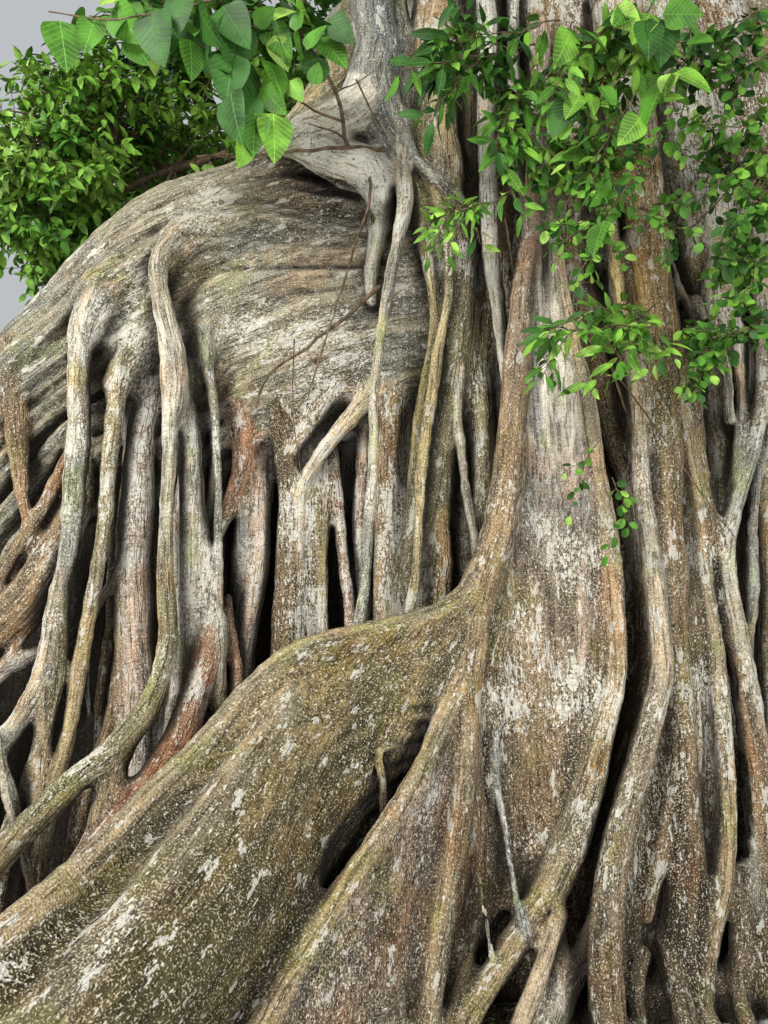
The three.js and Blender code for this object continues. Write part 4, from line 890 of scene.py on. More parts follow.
def build_fields():
    """Fills the fine and the coarse field with every limb, plate and bough."""
    fields = [Field(FINE_LOW, FINE_HIGH, FINE_VOXEL), Field(COARSE_LOW, COARSE_HIGH, COARSE_VOXEL)]
    core = owner_of("trunk", "brown", 0.5)
    slab = owner_of("arch", "slab", 0.30, flow=("round", SLAB_HEART, SLAB_TURN))
    # The web is coloured near-black: painted shade for the gaps between the roots
    web = owner_of("arch", "gap", 0.0)
    named, limbs = {}, []
    for seed, (name, group, colour, lichen, points) in enumerate(LIMBS):
        path = roughen(smooth_path(points), seed)
        named[name] = path
        high = SLAB_FILLET if group in ("roots", "arch") else None
        fillet = WIDE_FILLETS.get(name, FILLET * min(1, path[:, 3].mean() / 0.03))
        limbs.append((path, owner_of(group, colour, lichen, path), fillet, high))
    for seed, (points, colour, lichen) in enumerate(side_roots() + filling_roots()):
        path = roughen(smooth_path(points), ROOT_SEED + seed)
        limbs.append((path, owner_of("roots", colour, lichen, path), 0.4 * FILLET, SLAB_FILLET))
    for seed, (points, colour, lichen) in enumerate(back_stems()):
        path = roughen(smooth_path(points, 0.15), STEM_SEED + seed)
        limbs.append((path, owner_of("trunk", colour, lichen, path), FILLET, None))
    for seed, bough in enumerate(boughs):
        path = roughen(bough_path(bough), BOUGH_SEED + seed, sway=0.03, swell=0.08)
        limbs.append((path, owner_of("boughs", "grey", 0.5, path), BOUGH_FILLET, None))
    plates = []
    for plate in (BUTTRESS_1, BUTTRESS_2):
        crest = smooth_path(plate["crest"])
        pivot = crest[0, [0, 2]] + (0.15, 0.15)
        number = owner_of("plates", plate["colour"], plate["lichen"], flow=("fan", pivot, PLATE_FAN), top=1.5)
        sizes = {key: plate[key] for key in ("foot", "shoulder", "inner", "flute", "flutes", "rippled")}
        plates.append((crest, number, sizes))
        path = roughen(crest, PLATE_SEED + number, 0.008)
        limbs.append((path, owner_of("plates", "tan", 0.2, crest), FILLET, None))
    for plate in BACK_PLATES:
        share, crest = plan_curve(plate["start"], plate["end"], plate["bow"])
        crest[:, 2] = plate["height"] * (0.5 + 0.5 * np.cos(np.pi * share)) + 0.02
        crest[:, 3] = lerp(0.075, 0.055, share)
        number = owner_of("back_plates", "plate", 0.4)
        sizes = dict(foot=plate["foot"], shoulder=0.7, flute=0.03, flutes=11.0, seed=plate["seed"] * 7.0)
        plates.append((crest, number, sizes))
        path = roughen(crest, BACK_PLATE_SEED + number)
        limbs.append((path, owner_of("back_plates", "tan", 0.3, crest), FILLET, None))
    # The grooves are coloured dark as painted shade; the scars' hollows show the ochre heart
    painted_groove_shade, heart = owner_of("trunk", "groove", 0.1), owner_of("trunk", "ochre", 0.0)
    grooves = [(smooth_path(points, 0.05), painted_groove_shade) for points in GROOVES]
    for (x1, y1, z1, girth), (x2, y2, z2, _) in SCARS:
        ring = np.array([(x1, y1, z1, girth), (x2, y2, z2, girth)])
        limbs.append((ring, owner_of("trunk", "tan", 0.0), SCAR_FILLET, None))
        grooves.append((ring * (1, 1, 1, 0.55) - (0, 0.9 * girth, 0, 0), heart))
    faces = []
    for left, right, top, hollow, colour, lichen in COLUMN_FACES:
        faces.append((named[left], named[right], top, hollow, owner_of("trunk", colour, lichen, top=top)))
    for field in fields:
        add_core(field, core)
        add_arch(field, slab, web)
        for crest, number, sizes in plates:
            plate_under(field, crest, number, **sizes)
        for face in faces:
            add_face(field, *face)
        for path, number, fillet, high_fillet in limbs:
            field.limb(path, number, fillet, high_fillet)
        for path, number in grooves:
            field.groove(path, number)
        # The flat cut at the ground
        found = field.window(field.low, (1e3, 1e3, 1e3))
        field.carve(found[0], found[3] + np.zeros(field.shape, np.float32))
    return fields, web


def sample(array, field, points):
    """The field's values at points, from the nearest voxel."""
    index = np.rint((points - field.low) / field.voxel).astype(int)
    index = np.clip(index, 0, field.shape - 1)
    return array[index[:, 0], index[:, 1], index[:, 2]]


def surface(field):
    """The field's surface as points and four-cornered or three-cornered faces."""
    band = 3 * field.voxel
    grid = openvdb.FloatGrid(band)
    grid.copyFromArray(np.clip(field.distance, -band, band))
    points, triangles, quads = grid.convertToPolygons(isovalue=0.0, adaptivity=0.0)
    points = points * field.voxel + field.low
    return points, triangles, quads


def triangles_of(triangles, quads):
    """Triangles and quads as triangles alone."""
    parts = [np.asarray(triangles, int).reshape(-1, 3)]
    quads = np.asarray(quads, int).reshape(-1, 4)
    parts += [quads[:, [0, 1, 2]], quads[:, [0, 2, 3]]]
    return np.vstack(parts)


def vertex_normals(points, faces):
    """Unit normals at the points, weighted by the areas of the faces."""
    a, b, c = (points[faces[:, k]] for k in range(3))
    normal = np.cross(b - a, c - a)
    out = np.zeros_like(points)
    for k in range(3):
        for axis in range(3):
            out[:, axis] += np.bincount(faces[:, k], normal[:, axis], len(points))
    return out / np.maximum(np.linalg.norm(out, axis=1, keepdims=True), 1e-12)


def blurred(values, faces, rounds):
    """Values at the points, each mixed with its neighbours' a few times."""
    count = len(values)
    values = values.copy()
    edges = np.vstack([faces[:, [0, 1]], faces[:, [1, 2]], faces[:, [2, 0]]])
    degree = np.maximum(np.bincount(edges.ravel(), minlength=count), 1)
    for _ in range(rounds):
        total = np.zeros_like(values)
        for axis in range(values.shape[1]):
            column = values[:, axis]
            total[:, axis] = (np.bincount(edges[:, 0], column[edges[:, 1]], count)
                              + np.bincount(edges[:, 1], column[edges[:, 0]], count))
        values = 0.5 * values + 0.5 * total / degree[:, None]
    return values


GRAIN_STEP = 0.37  # moves each limb's pattern on from the last one's


def grain_of(points, number):
    """Where points lie in their limbs: two ways across, and the way along that the streaks follow."""
    grain = points.copy()
    order = np.argsort(number, kind="stable")
    bounds = np.searchsorted(number[order], np.arange(len(owners) + 1))
    for n in range(len(owners)):
        path = owners[n]["path"]
        mine = order[bounds[n]:bounds[n + 1]]
        if len(mine) == 0:
            continue
        if owners[n]["flow"]:
            kind, (x, z), size = owners[n]["flow"]
            away = np.hypot(points[mine, 0] - x, points[mine, 2] - z)
            turn = np.arctan2(points[mine, 2] - z, points[mine, 0] - x) * size
            across, along = (away, turn) if kind == "round" else (turn, away)
            grain[mine] = np.column_stack([across, points[mine, 1], along])
            continue
        if path is None:
            continue
        p = points[mine]
        best = np.full(len(mine), 1e9)
        where = np.zeros((len(mine), 3))
        length = np.concatenate([[0], np.cumsum(np.linalg.norm(np.diff(path[:, :3], axis=0), axis=1))])
        side = np.array([0.0, 1.0, 0.0])
        for i, (a, b) in enumerate(zip(path[:-1, :3], path[1:, :3])):
            way = b - a
            size = max(np.linalg.norm(way), 1e-6)
            way = way / size
            side = side - (side @ way) * way
            side /= max(np.linalg.norm(side), 1e-6)
            third = np.cross(way, side)
            off = p - a
            t = np.clip(off @ way, 0, size)
            off = off - t[:, None] * way
            gap = np.linalg.norm(off, axis=1)
            near = gap < best
            best = np.where(near, gap, best)
            here = np.column_stack([off @ third, off @ side, length[i] + t])
            where[near] = here[near]
        grain[mine] = where + n * GRAIN_STEP
    return grain


def tints_of(points, grain, number):
    """The bark's colour at points, with the share of lichen as a fourth value."""
    tint = np.array([[*o["colours"][0], o["lichen"]] for o in owners])[number]
    for n, owner in enumerate(owners):
        if len(owner["colours"]) > 1:
            mine = np.flatnonzero(number == n)
            if owner["path"] is None:
                share = 1 - points[mine, 2] / owner["top"]
            else:
                steps = np.linalg.norm(np.diff(owner["path"][:, :3], axis=0), axis=1)
                share = (grain[mine, 2] - n * GRAIN_STEP) / steps.sum()
            stops = np.linspace(0, 1, len(owner["colours"]))
            for k in range(3):
                tint[mine, k] = np.interp(share, stops, owner["colours"][:, k])
    return tint


def drifts_of(points, grain):
    """Slow noise at points: two for hues, one for lichen, and one drawn out along the limbs."""
    out = []
    kinds = ((points, 4.3, 3), (points + 9, 5.7, 3), (points + 23, 3.6, 3), (grain, BROAD, 2))
    for places, scale, octaves in kinds:
        weights = 0.62 ** np.arange(octaves)
        parts = [w * noise(*(places * scale * 2 ** k + 5 * k).T) for k, w in enumerate(weights)]
        out.append(sum(parts) / weights.sum())
    return np.column_stack(out)


def new_mesh(name, points, faces, materials, slots=None, normals=None):
    """A mesh piece from arrays of points and of three-cornered or four-cornered faces."""
    mesh = bpy.data.meshes.new(name)
    corners = faces.shape[1]
    mesh.vertices.add(len(points))
    mesh.vertices.foreach_set("co", np.asarray(points, np.float32).ravel())
    mesh.loops.add(faces.size)
    mesh.loops.foreach_set("vertex_index", faces.astype(np.int32).ravel())
    mesh.polygons.add(len(faces))
    mesh.polygons.foreach_set("loop_start", np.arange(len(faces), dtype=np.int32) * corners)
    if slots is not None:
        mesh.polygons.foreach_set("material_index", slots.astype(np.int32))
    for material in materials:
        mesh.materials.append(material)
    mesh.update(calc_edges=True)
    mesh.shade_smooth()
    if normals is not None:
        mesh.normals_split_custom_set_from_vertices(normals.astype(np.float32))
    piece = bpy.data.objects.new(name, mesh)
    bpy.context.scene.collection.objects.link(piece)
    return piece


def set_attribute(piece, name, kind, values, domain="POINT"):
    """A named attribute of a mesh, for its material to read."""
    attribute = piece.data.attributes.new(name, kind, domain)
    key = {"FLOAT": "value", "FLOAT_VECTOR": "vector", "FLOAT_COLOR": "color"}[kind]
    attribute.data.foreach_set(key, np.asarray(values, np.float32).ravel())


# Shader helpers
def new_material(name):
    """An empty material, its node tree and its shader node."""
    material = bpy.data.materials.new(name)
    material.use_nodes = True
    return material, material.node_tree, material.node_tree.nodes["Principled BSDF"]


def node(tree, kind, settings=None, **inputs):
    """A shader node with its settings, and its inputs set to values or linked to other nodes' outputs."""
    made = tree.nodes.new(kind)
    for key, value in (settings or {}).items():
        setattr(made, key, value)
    for key, value in inputs.items():
        by_number = key[0] == "i" and key[1:].isdigit()
        socket = made.inputs[int(key[1:]) if by_number else key.replace("_", " ")]
        if isinstance(value, bpy.types.NodeSocket):
            tree.links.new(value, socket)
        else:
            socket.default_value = value
    return made


def stretched_noise(tree, grain, scale, detail=3.0, rough=0.55):
    """Noise on the grain, with its own scale across and along."""
    place = node(tree, "ShaderNodeMapping", i0=grain, Scale=scale)
    return node(tree, "ShaderNodeTexNoise", Vector=place.outputs[0], Scale=1.0, Detail=detail,
                Roughness=rough).outputs["Fac"]


def ramp(tree, value, low, high, to_low=0.0, to_high=1.0):
    """A smooth step between two values as the input goes from low to high."""
    return node(tree, "ShaderNodeMapRange", {"interpolation_type": "SMOOTHSTEP"}, i0=value, i1=low, i2=high,
                i3=to_low, i4=to_high).outputs[0]


def arithmetic(tree, kind, a, b, c=0.0):
    """A sum, product or the like of two or three inputs."""
    return node(tree, "ShaderNodeMath", {"operation": kind}, i0=a, i1=b, i2=c).outputs[0]


def mixed(tree, share, a, b, how="MIX"):
    """Two colours mixed by a share, plainly or as a product."""
    made = node(tree, "ShaderNodeMix", {"data_type": "RGBA", "blend_type": how})
    for index, value in ((0, share), (6, a), (7, b)):
        if isinstance(value, bpy.types.NodeSocket):
            tree.links.new(value, made.inputs[index])
        else:
            made.inputs[index].default_value = value
    return made.outputs[2]


def rgba(colour):
    """A colour of 0 to 255 as a shader's colour."""
    return (*linear(colour), 1.0)


def scaled(tree, colour, factor):
    """A colour made lighter or darker by a factor."""
    made = node(tree, "ShaderNodeVectorMath", {"operation": "SCALE"}, i0=colour)
    tree.links.new(factor, made.inputs["Scale"])
    return made.outputs[0]


def dots(tree, place, scale, *kinds):
    """Round dots of each kind on a seeded few of the cells, more and larger where its density is high."""
    cells = node(tree, "ShaderNodeTexVoronoi", Vector=place, Scale=scale)
    chances = node(tree, "ShaderNodeSeparateColor", i0=cells.outputs["Color"]).outputs
    out = []
    for chance, (density, size) in zip(chances, kinds):
        radius = arithmetic(tree, "MULTIPLY", arithmetic(tree, "SUBTRACT", density, chance), size)
        out.append(ramp(tree, arithmetic(tree, "SUBTRACT", cells.outputs["Distance"], radius), 0.05, -0.05))
    return out


def bark_material(name, stained=False):
    """Bark with streaks and cracks along the limb, lichen and pores, painted shade with some dirt in hollows,
    painted shade in creases and painted light on ridges, and with stains if asked for.
    """
    material, tree, shader = new_material(name)
    grain = node(tree, "ShaderNodeAttribute", {"attribute_name": "grain"}).outputs["Vector"]
    place = node(tree, "ShaderNodeTexCoord").outputs["Object"]
    level = node(tree, "ShaderNodeSeparateXYZ", i0=place).outputs[2]
    tint = node(tree, "ShaderNodeAttribute", {"attribute_name": "tint"})
    hollow = node(tree, "ShaderNodeAttribute", {"attribute_name": "hollow"}).outputs["Fac"]
    crease = node(tree, "ShaderNodeAttribute", {"attribute_name": "crease"}).outputs["Fac"]
    drift = node(tree, "ShaderNodeAttribute", {"attribute_name": "drift"})
    broad = drift.outputs["Alpha"]
    rust, moss, field = node(tree, "ShaderNodeSeparateColor", i0=drift.outputs["Color"]).outputs[:3]
    streak = stretched_noise(tree, grain, (42, 42, 4), 2, 0.6)
    crack = ramp(tree, stretched_noise(tree, grain, (70, 70, 6), 1), 0.56, 0.68)
    rings = stretched_noise(tree, grain, (12, 12, 85), 0)
    fine = node(tree, "ShaderNodeTexNoise", Vector=place, Scale=160.0, Detail=0.0).outputs["Fac"]
    # Lighter and darker along the limb, hues that drift over the tree, a darker foot, and painted shade in
    # creases with painted light on ridges
    colour = tint.outputs["Color"]
    colour = scaled(tree, colour, ramp(tree, streak, 0.30, 0.72, 1.16, 0.60))
    colour = scaled(tree, colour, ramp(tree, broad, 0.30, 0.70, 1.14, 0.66))
    colour = scaled(tree, colour, ramp(tree, rings, 0.37, 0.83, 1.04, 0.84))
    colour = scaled(tree, colour, ramp(tree, crack, 0.0, 1.0, 1.0, 0.58))
    colour = scaled(tree, colour, ramp(tree, level, 0.0, 1.6, 0.62, 1.0))
    # Painted shade in creases and painted light on ridges
    colour = scaled(tree, colour, ramp(tree, crease, -0.25, 0.30, 1.30, 0.40))
    warm = mixed(tree, 1.0, colour, (1.04, 0.97, 0.88, 1), "MULTIPLY")
    cool = mixed(tree, 1.0, colour, (0.92, 0.95, 0.97, 1), "MULTIPLY")
    colour = mixed(tree, ramp(tree, broad, 0.40, 0.60), warm, cool)
    for share, hue in ((rust, RUST), (moss, MOSS)):
        colour = mixed(tree, ramp(tree, share, 0.54, 0.76), colour, mixed(tree, 1.0, colour, hue, "MULTIPLY"))
    if stained:
        run = ramp(tree, stretched_noise(tree, place, (24, 24, 0.9), 3), 0.56, 0.70)
        colour = mixed(tree, run, colour, mixed(tree, 1.0, colour, STREAK, "MULTIPLY"))
        away = node(tree, "ShaderNodeVectorMath", {"operation": "DISTANCE"}, i0=place, i1=STAIN_PLACE)
        ragged = arithmetic(tree, "MULTIPLY_ADD", rust, 0.5, away.outputs["Value"])
        stain = ramp(tree, ragged, 0.62, 0.42)
        colour = mixed(tree, stain, colour, mixed(tree, 1.0, colour, STAIN, "MULTIPLY"))
    # Lichen: fields of it, as round dots, as flecks drawn out along the limb and as fine speckles
    share = arithmetic(tree, "MULTIPLY_ADD", tint.outputs["Alpha"], 0.42, -0.2)
    raised = ramp(tree, arithmetic(tree, "ADD", field, share), 0.40, 0.70)
    patch = arithmetic(tree, "MULTIPLY", raised, ramp(tree, level, 0.0, 1.3, 0.30, 1.0))
    flecks = stretched_noise(tree, grain, (95, 95, 40), 1, 0.7)
    fleck = ramp(tree, arithmetic(tree, "MULTIPLY_ADD", patch, 0.13, flecks), 0.66, 0.73)
    salt = ramp(tree, arithmetic(tree, "MULTIPLY_ADD", patch, 0.12, fine), 0.59, 0.71)
    blotches = stretched_noise(tree, grain, (22, 22, 9), 3, 0.72)
    blotch = ramp(tree, arithmetic(tree, "MULTIPLY_ADD", patch, 0.10, blotches), 0.60, 0.64)
    dense = arithmetic(tree, "MULTIPLY_ADD", patch, 0.75, 0.15)
    sparse = arithmetic(tree, "MULTIPLY", patch, 0.30)
    spots, pocks, pores = dots(tree, place, 62.0, (dense, 0.62), (sparse, 1.2), (0.20, 0.9))
    pepper = ramp(tree, fine, 0.43, 0.28)
    colour = scaled(tree, colour, ramp(tree, pepper, 0.0, 1.0, 1.0, 0.60))
    for marks, strength, hue in ((salt, 0.50, SPECKLE), (fleck, 0.80, LICHEN), (blotch, 0.62, LICHEN),
                                 (spots, 0.85, LICHEN)):
        colour = mixed(tree, arithmetic(tree, "MULTIPLY", marks, strength), colour, rgba(hue))
    colour = scaled(tree, colour, ramp(tree, pocks, 0.0, 1.0, 1.0, 0.25))
    colour = scaled(tree, colour, ramp(tree, pores, 0.0, 1.0, 1.0, 0.45))
    # Painted shade in hollows, partly dirt and damp: the further off open air is, the nearer the bark goes to
    # near-black
    shade_and_dirt = ramp(tree, hollow, 0.20, 0.75, 0.0, 0.93)
    colour = mixed(tree, shade_and_dirt, colour, rgba(SHADE_AND_DIRT))
    tree.links.new(colour, shader.inputs["Base Color"])
    shader.inputs["Roughness"].default_value = 0.85
    shader.inputs["Specular IOR Level"].default_value = 0.2
    height = streak
    for part, weight in ((crack, -0.5), (rings, 0.34), (fine, 0.33)):
        height = arithmetic(tree, "MULTIPLY_ADD", part, weight, height)
    relief = node(tree, "ShaderNodeBump", Height=height, Strength=1.0, Distance=0.016)
    tree.links.new(relief.outputs[0], shader.inputs["Normal"])
    return material


bark = bark_material("fig_bark")
stained_bark = bark_material("fig_bark_stained", True)

# The pieces of bark, and the CAD nodes that each stands for
roots_nodes = [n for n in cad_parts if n.startswith(("prop_root", "back_prop_root"))]
PIECES = {
    "trunk": ("bark_trunk", "bark", ["trunk"]),
    "arch": ("bark_arch", "slab", ["arch_buttress"]),
    "roots": ("bark_prop_roots", "root", roots_nodes),
    "hanging": ("bark_hanging_roots", "root", [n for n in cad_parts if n.startswith("hanging_root")]),
    "plates": ("bark_front_buttresses", "bark", []),
    "back_plates": ("bark_back_buttresses", "bark", []),
    "boughs": ("bark_boughs", "bough", [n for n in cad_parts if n.startswith("bough_")]),
}


def inside_box(points, low, high, margin):
    """Which points lie inside a box by more than a margin."""
    return np.all((points > np.array(low) + margin) & (points < np.array(high) - margin), axis=1)


def dress_bark():
    """Makes the bark's meshes from the two fields, piece by piece."""
    (fine, coarse), web_number = build_fields()
    for field, label in ((fine, "front"), (coarse, "rest")):
        points, triangles, quads = surface(field)
        faces = triangles_of(triangles, quads)
        middle = points[faces].mean(1)
        if field is fine:
            keep = inside_box(middle, (FINE_LOW[0], FINE_LOW[1], -1), FINE_HIGH, 1.5 * field.voxel)
        else:
            keep = ~inside_box(middle, (FINE_LOW[0], FINE_LOW[1], -1), FINE_HIGH, 1.5 * FINE_VOXEL + SEAM)
        faces = faces[keep]
        normals = vertex_normals(points, faces)
        outside = sample(field.distance, field, points + 3 * field.voxel * normals)
        if np.mean(outside) < 0:
            faces = faces[:, ::-1]
            normals = -normals
        number = sample(field.owner, field, points)
        # How closed in each point is, for the painted shade (partly dirt) in hollows
        hollow = np.zeros(len(points))
        for reach, weight in HOLLOW_REACHES:
            open_air = sample(field.distance, field, points + reach * normals)
            hollow += weight * np.clip(1 - open_air / reach, 0, 1)
        # The web is painted fully dark, as shade
        hollow = np.where(number == web_number, 1.0, hollow)
        grain = grain_of(points, number)
        smooth = blurred(np.column_stack([tints_of(points, grain, number), hollow]), faces, 4)
        drifts = drifts_of(points, grain)
        # Each corner takes the grain of its face's own limb, so that streaks end cleanly where limbs meet
        face_number = number[faces[:, 0]]
        corner_grain = grain[faces]
        other = number[faces] != face_number[:, None]
        corner_grain[other] = grain_of(points[faces[other]], np.repeat(face_number[:, None], 3, 1)[other])
        lumps = noise(*(points / LUMP_SIZE).T) - 0.5 + 0.5 * (noise(*(points / LUMP_SIZE * 2 + 31).T) - 0.5)
        ridges = noise(*(grain * RIDGE_SCALE).T) - 0.5
        still = points[:, 2] < 1.5 * field.voxel
        lift = np.where(still, 0, LUMP_HEIGHT * lumps + RIDGE_HEIGHT * ridges)
        points = points + lift[:, None] * normals
        points[:, 2] = np.where(still, np.maximum(points[:, 2], 0), points[:, 2])
        normals = vertex_normals(points, faces)
        # Creases and ridges: how far each point lies behind or before the mean of its surroundings, for
        # painted shade in creases and painted light on ridges
        rounds = max(2, round((CAVITY_REACH / field.voxel) ** 2))
        crease = ((blurred(points, faces, rounds) - points) * normals).sum(1) / CAVITY_REACH
        groups = np.array([o["group"] for o in owners])[face_number]
        for group, (name, slot, nodes) in PIECES.items():
            mine = np.flatnonzero(groups == group)
            if len(mine) < 30:
                continue
            # A large piece is cut across x into equal parts
            mine = mine[np.argsort(points[faces[mine, 0], 0])]
            for part, chosen in enumerate(np.array_split(mine, math.ceil(len(mine) / PIECE_LIMIT))):
                used, index = np.unique(faces[chosen], return_inverse=True)
                piece = new_mesh(f"{name}_{label}_{part + 1}", points[used], index.reshape(-1, 3),
                                 [stained_bark if group == "arch" else bark], normals=normals[used])
                set_attribute(piece, "grain", "FLOAT_VECTOR", corner_grain[chosen], "CORNER")
                set_attribute(piece, "tint", "FLOAT_COLOR", smooth[used, :4])
                set_attribute(piece, "drift", "FLOAT_COLOR", drifts[used])
                set_attribute(piece, "hollow", "FLOAT", smooth[used, 4])
                set_attribute(piece, "crease", "FLOAT", crease[used])
                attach(piece, "root")
                if nodes:
                    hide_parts(*nodes)


dress_bark()

# Leaves and twigs
LEAF_GREENS = {
    "leaf_dark": (54, 98, 34),
    "leaf_mid": (86, 140, 44),
    "leaf_light": (124, 176, 60),
    # The lightest green is partly the colour of young leaves and partly painted light, the glow of leaves lit
    # from behind
    "leaf_young_backlit": (156, 200, 84),
}
LEAF_VEINS = 9  # on each side of the midrib
# A crown leaf in its own outline, folded along its midrib: (along, across, up) in leaf lengths
CROWN_LEAF = np.array([(0, 0, 0), (0.30, 0.24, 0.06), (0.66, 0.20, 0.03), (1, 0, -0.08), (0.66, -0.20, 0.03),
                       (0.30, -0.24, 0.06)])
CROWN_LEAF_FACES = np.array([(0, 3, 2, 1), (0, 5, 4, 3)])
CLUSTERS, SHOOTS, SHOOT_LEAVES = ((66, 8, 12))
CROWN_LEAF_LENGTH, CROWN_SHOOT_LENGTH = 0.20, 0.5
CROWN_TONES = (0.34, 0.38, 0.20, 0.08)  # shares of the four greens


def leaf_material(name, colour):
    """A leaf's uneven green with a soft gloss, and veins where the leaf carries its blade's coordinates."""
    material, tree, shader = new_material(name)
    place = node(tree, "ShaderNodeTexCoord").outputs["Object"]
    uneven = node(tree, "ShaderNodeTexNoise", Vector=place, Scale=11.0, Detail=3.0).outputs["Fac"]
    darker = tuple(0.66 * c for c in colour)
    shade = mixed(tree, ramp(tree, uneven, 0.35, 0.65), rgba(darker), rgba(colour))
    blade = node(tree, "ShaderNodeAttribute", {"attribute_name": "blade"}).outputs["Vector"]
    parts = node(tree, "ShaderNodeSeparateXYZ", i0=blade).outputs
    across = arithmetic(tree, "ABSOLUTE", parts[1], 0.0)
    row = arithmetic(tree, "MULTIPLY", arithmetic(tree, "MULTIPLY_ADD", across, -0.8, parts[0]), LEAF_VEINS)
    side = ramp(tree, arithmetic(tree, "PINGPONG", row, 0.5), 0.10, 0.0)
    midrib = ramp(tree, across, 0.016, 0.0)
    vein = arithmetic(tree, "MULTIPLY", arithmetic(tree, "MAXIMUM", side, midrib), parts[2])
    vein_colour = tuple(min(255, 1.25 * c + 25) for c in colour)
    shade = mixed(tree, arithmetic(tree, "MULTIPLY", vein, 0.55), shade, rgba(vein_colour))
    tree.links.new(shade, shader.inputs["Base Color"])
    shader.inputs["Roughness"].default_value = 0.5
    shader.inputs["Specular IOR Level"].default_value = 0.25
    relief = node(tree, "ShaderNodeBump", Height=vein, Strength=0.6, Distance=0.002)
    tree.links.new(relief.outputs[0], shader.inputs["Normal"])
    return material


def twig_material():
    """Brown bark for twigs too thin for the bark's relief."""
    material, tree, shader = new_material("twig_bark")
    place = node(tree, "ShaderNodeTexCoord").outputs["Object"]
    uneven = node(tree, "ShaderNodeTexNoise", Vector=place, Scale=30.0, Detail=3.0).outputs["Fac"]
    colour = mixed(tree, ramp(tree, uneven, 0.35, 0.7), rgba((72, 56, 40)), rgba((120, 100, 74)))
    tree.links.new(colour, shader.inputs["Base Color"])
    shader.inputs["Roughness"].default_value = 0.8
    relief = node(tree, "ShaderNodeBump", Height=uneven, Strength=0.5, Distance=0.004)
    tree.links.new(relief.outputs[0], shader.inputs["Normal"])
    return material


greens = [leaf_material(name, colour) for name, colour in LEAF_GREENS.items()]
twig_bark = twig_material()
TWIG_GIRTHS = dict(stem_tip=0.016, first=(0.034, 0.014), finer=(0.015, 0.006), shoot=(0.0045, 0.002))


def unit(v):
    """The same ways, each one unit long."""
    return v / np.maximum(np.linalg.norm(v, axis=-1, keepdims=True), 1e-9)


def square_ways(along, hint=(0.3, 0.2, 1.0)):
    """Two unit ways square to each given way."""
    across = unit(np.cross(along, np.array(hint)))
    return across, np.cross(across, along)


class Twigs:
    """Tubes for twigs, gathered and then joined into one mesh."""

    def __init__(self, sides):
        self.sides = sides
        self.points, self.faces, self.count = [], [], 0

    def add(self, starts, ends, girths):
        """Straight tubes from starts to ends, with a girth at each end."""
        starts, ends = np.atleast_2d(starts), np.atleast_2d(ends)
        girths = np.broadcast_to(np.asarray(girths, float), (len(starts), 2))
        across, out = square_ways(unit(ends - starts))
        turn = 2 * np.pi * np.arange(self.sides) / self.sides
        ring = np.cos(turn)[None, :, None] * across[:, None] + np.sin(turn)[None, :, None] * out[:, None]
        tube = np.concatenate([starts[:, None] + girths[:, 0, None, None] * ring,
                               ends[:, None] + girths[:, 1, None, None] * ring], axis=1)
        i = np.arange(self.sides)
        j = (i + 1) % self.sides
        face = np.stack([i, j, j + self.sides, i + self.sides], axis=1)
        base = self.count + 2 * self.sides * np.arange(len(starts))
        self.points.append(tube.reshape(-1, 3))
        self.faces.append((face[None] + base[:, None, None]).reshape(-1, 4))
        self.count += tube.shape[0] * tube.shape[1]

    def path(self, points, girths):
        points, girths = np.asarray(points, float), np.asarray(girths, float)
        self.add(points[:-1], points[1:], np.column_stack([girths[:-1], girths[1:]]))

    def piece(self, name):
        return new_mesh(name, np.vstack(self.points), np.vstack(self.faces), [twig_bark])


class Leaves:
    """Leaves of one outline, gathered and then joined into one mesh."""

    def __init__(self, outline, faces):
        self.outline, self.face = outline, faces
        self.points, self.faces, self.slots, self.count = [], [], [], 0

    def add(self, bases, alongs, ups, lengths, greens_chosen):
        alongs = unit(alongs)
        across = unit(np.cross(alongs, ups))
        ups = np.cross(across, alongs)
        size = np.broadcast_to(np.asarray(lengths, float), (len(bases),))[:, None, None]
        axes = np.stack([alongs, across, ups], axis=1)
        blade = bases[:, None] + size * (self.outline @ axes)
        base = self.count + len(self.outline) * np.arange(len(bases))
        self.points.append(blade.reshape(-1, 3))
        self.faces.append((self.face[None] + base[:, None, None]).reshape(-1, self.face.shape[1]))
        chosen = np.broadcast_to(np.asarray(greens_chosen), (len(bases),))
        self.slots.append(np.repeat(chosen, len(self.face)))
        self.count += blade.shape[0] * blade.shape[1]

    def piece(self, name, veined=False):
        made = new_mesh(name, np.vstack(self.points), np.vstack(self.faces), greens,
                        np.concatenate(self.slots))
        if veined:
            blade = np.column_stack([self.outline[:, :2], np.ones(len(self.outline))])
            set_attribute(made, "blade", "FLOAT_VECTOR", np.tile(blade, (self.count // len(blade), 1)))
        return made


def ways_round(count, draw):
    """Ways spread evenly over a sphere, each a little off its place."""
    i = np.arange(count) + 0.5
    level = 1 - 2 * i / count
    turn = draw.random() * 2 * np.pi + i * GOLDEN_ANGLE
    flat = np.sqrt(1 - level ** 2)
    ways = np.column_stack([flat * np.cos(turn), flat * np.sin(turn), level])
    return unit(ways + 0.25 * draw.normal(size=ways.shape))


def skeleton(mass):
    """The mass's stem and its first twigs, by the source's rule."""
    draws = random_from(mass["seed"])
    if "bough" in mass:
        start = bough_path(mass["bough"])[-1, :3]
        girth = mass["bough"]["girth"][1] * 0.8
    else:
        start = np.array(mass["root"], float)
        girth = 0.04
    stem_end = lerp(start, mass["middle"], 1.15)
    phase = 2 * math.pi * next(draws)
    twigs = []
    for i in range(TWIG_COUNT):
        level = 1 - 2 * (i + 0.5) / TWIG_COUNT
        turn = phase + i * GOLDEN_ANGLE
        flat = math.sqrt(1 - level * level)
        way = np.array([flat * math.cos(turn), flat * math.sin(turn), level])
        tip = mass["middle"] + TWIG_OUT * mass["size"] * way
        foot = lerp(start, stem_end, 0.3 + 0.65 * next(draws))
        for _ in range(6):
            next(draws)
        twigs.append((foot, tip))
    return start, stem_end, girth, twigs


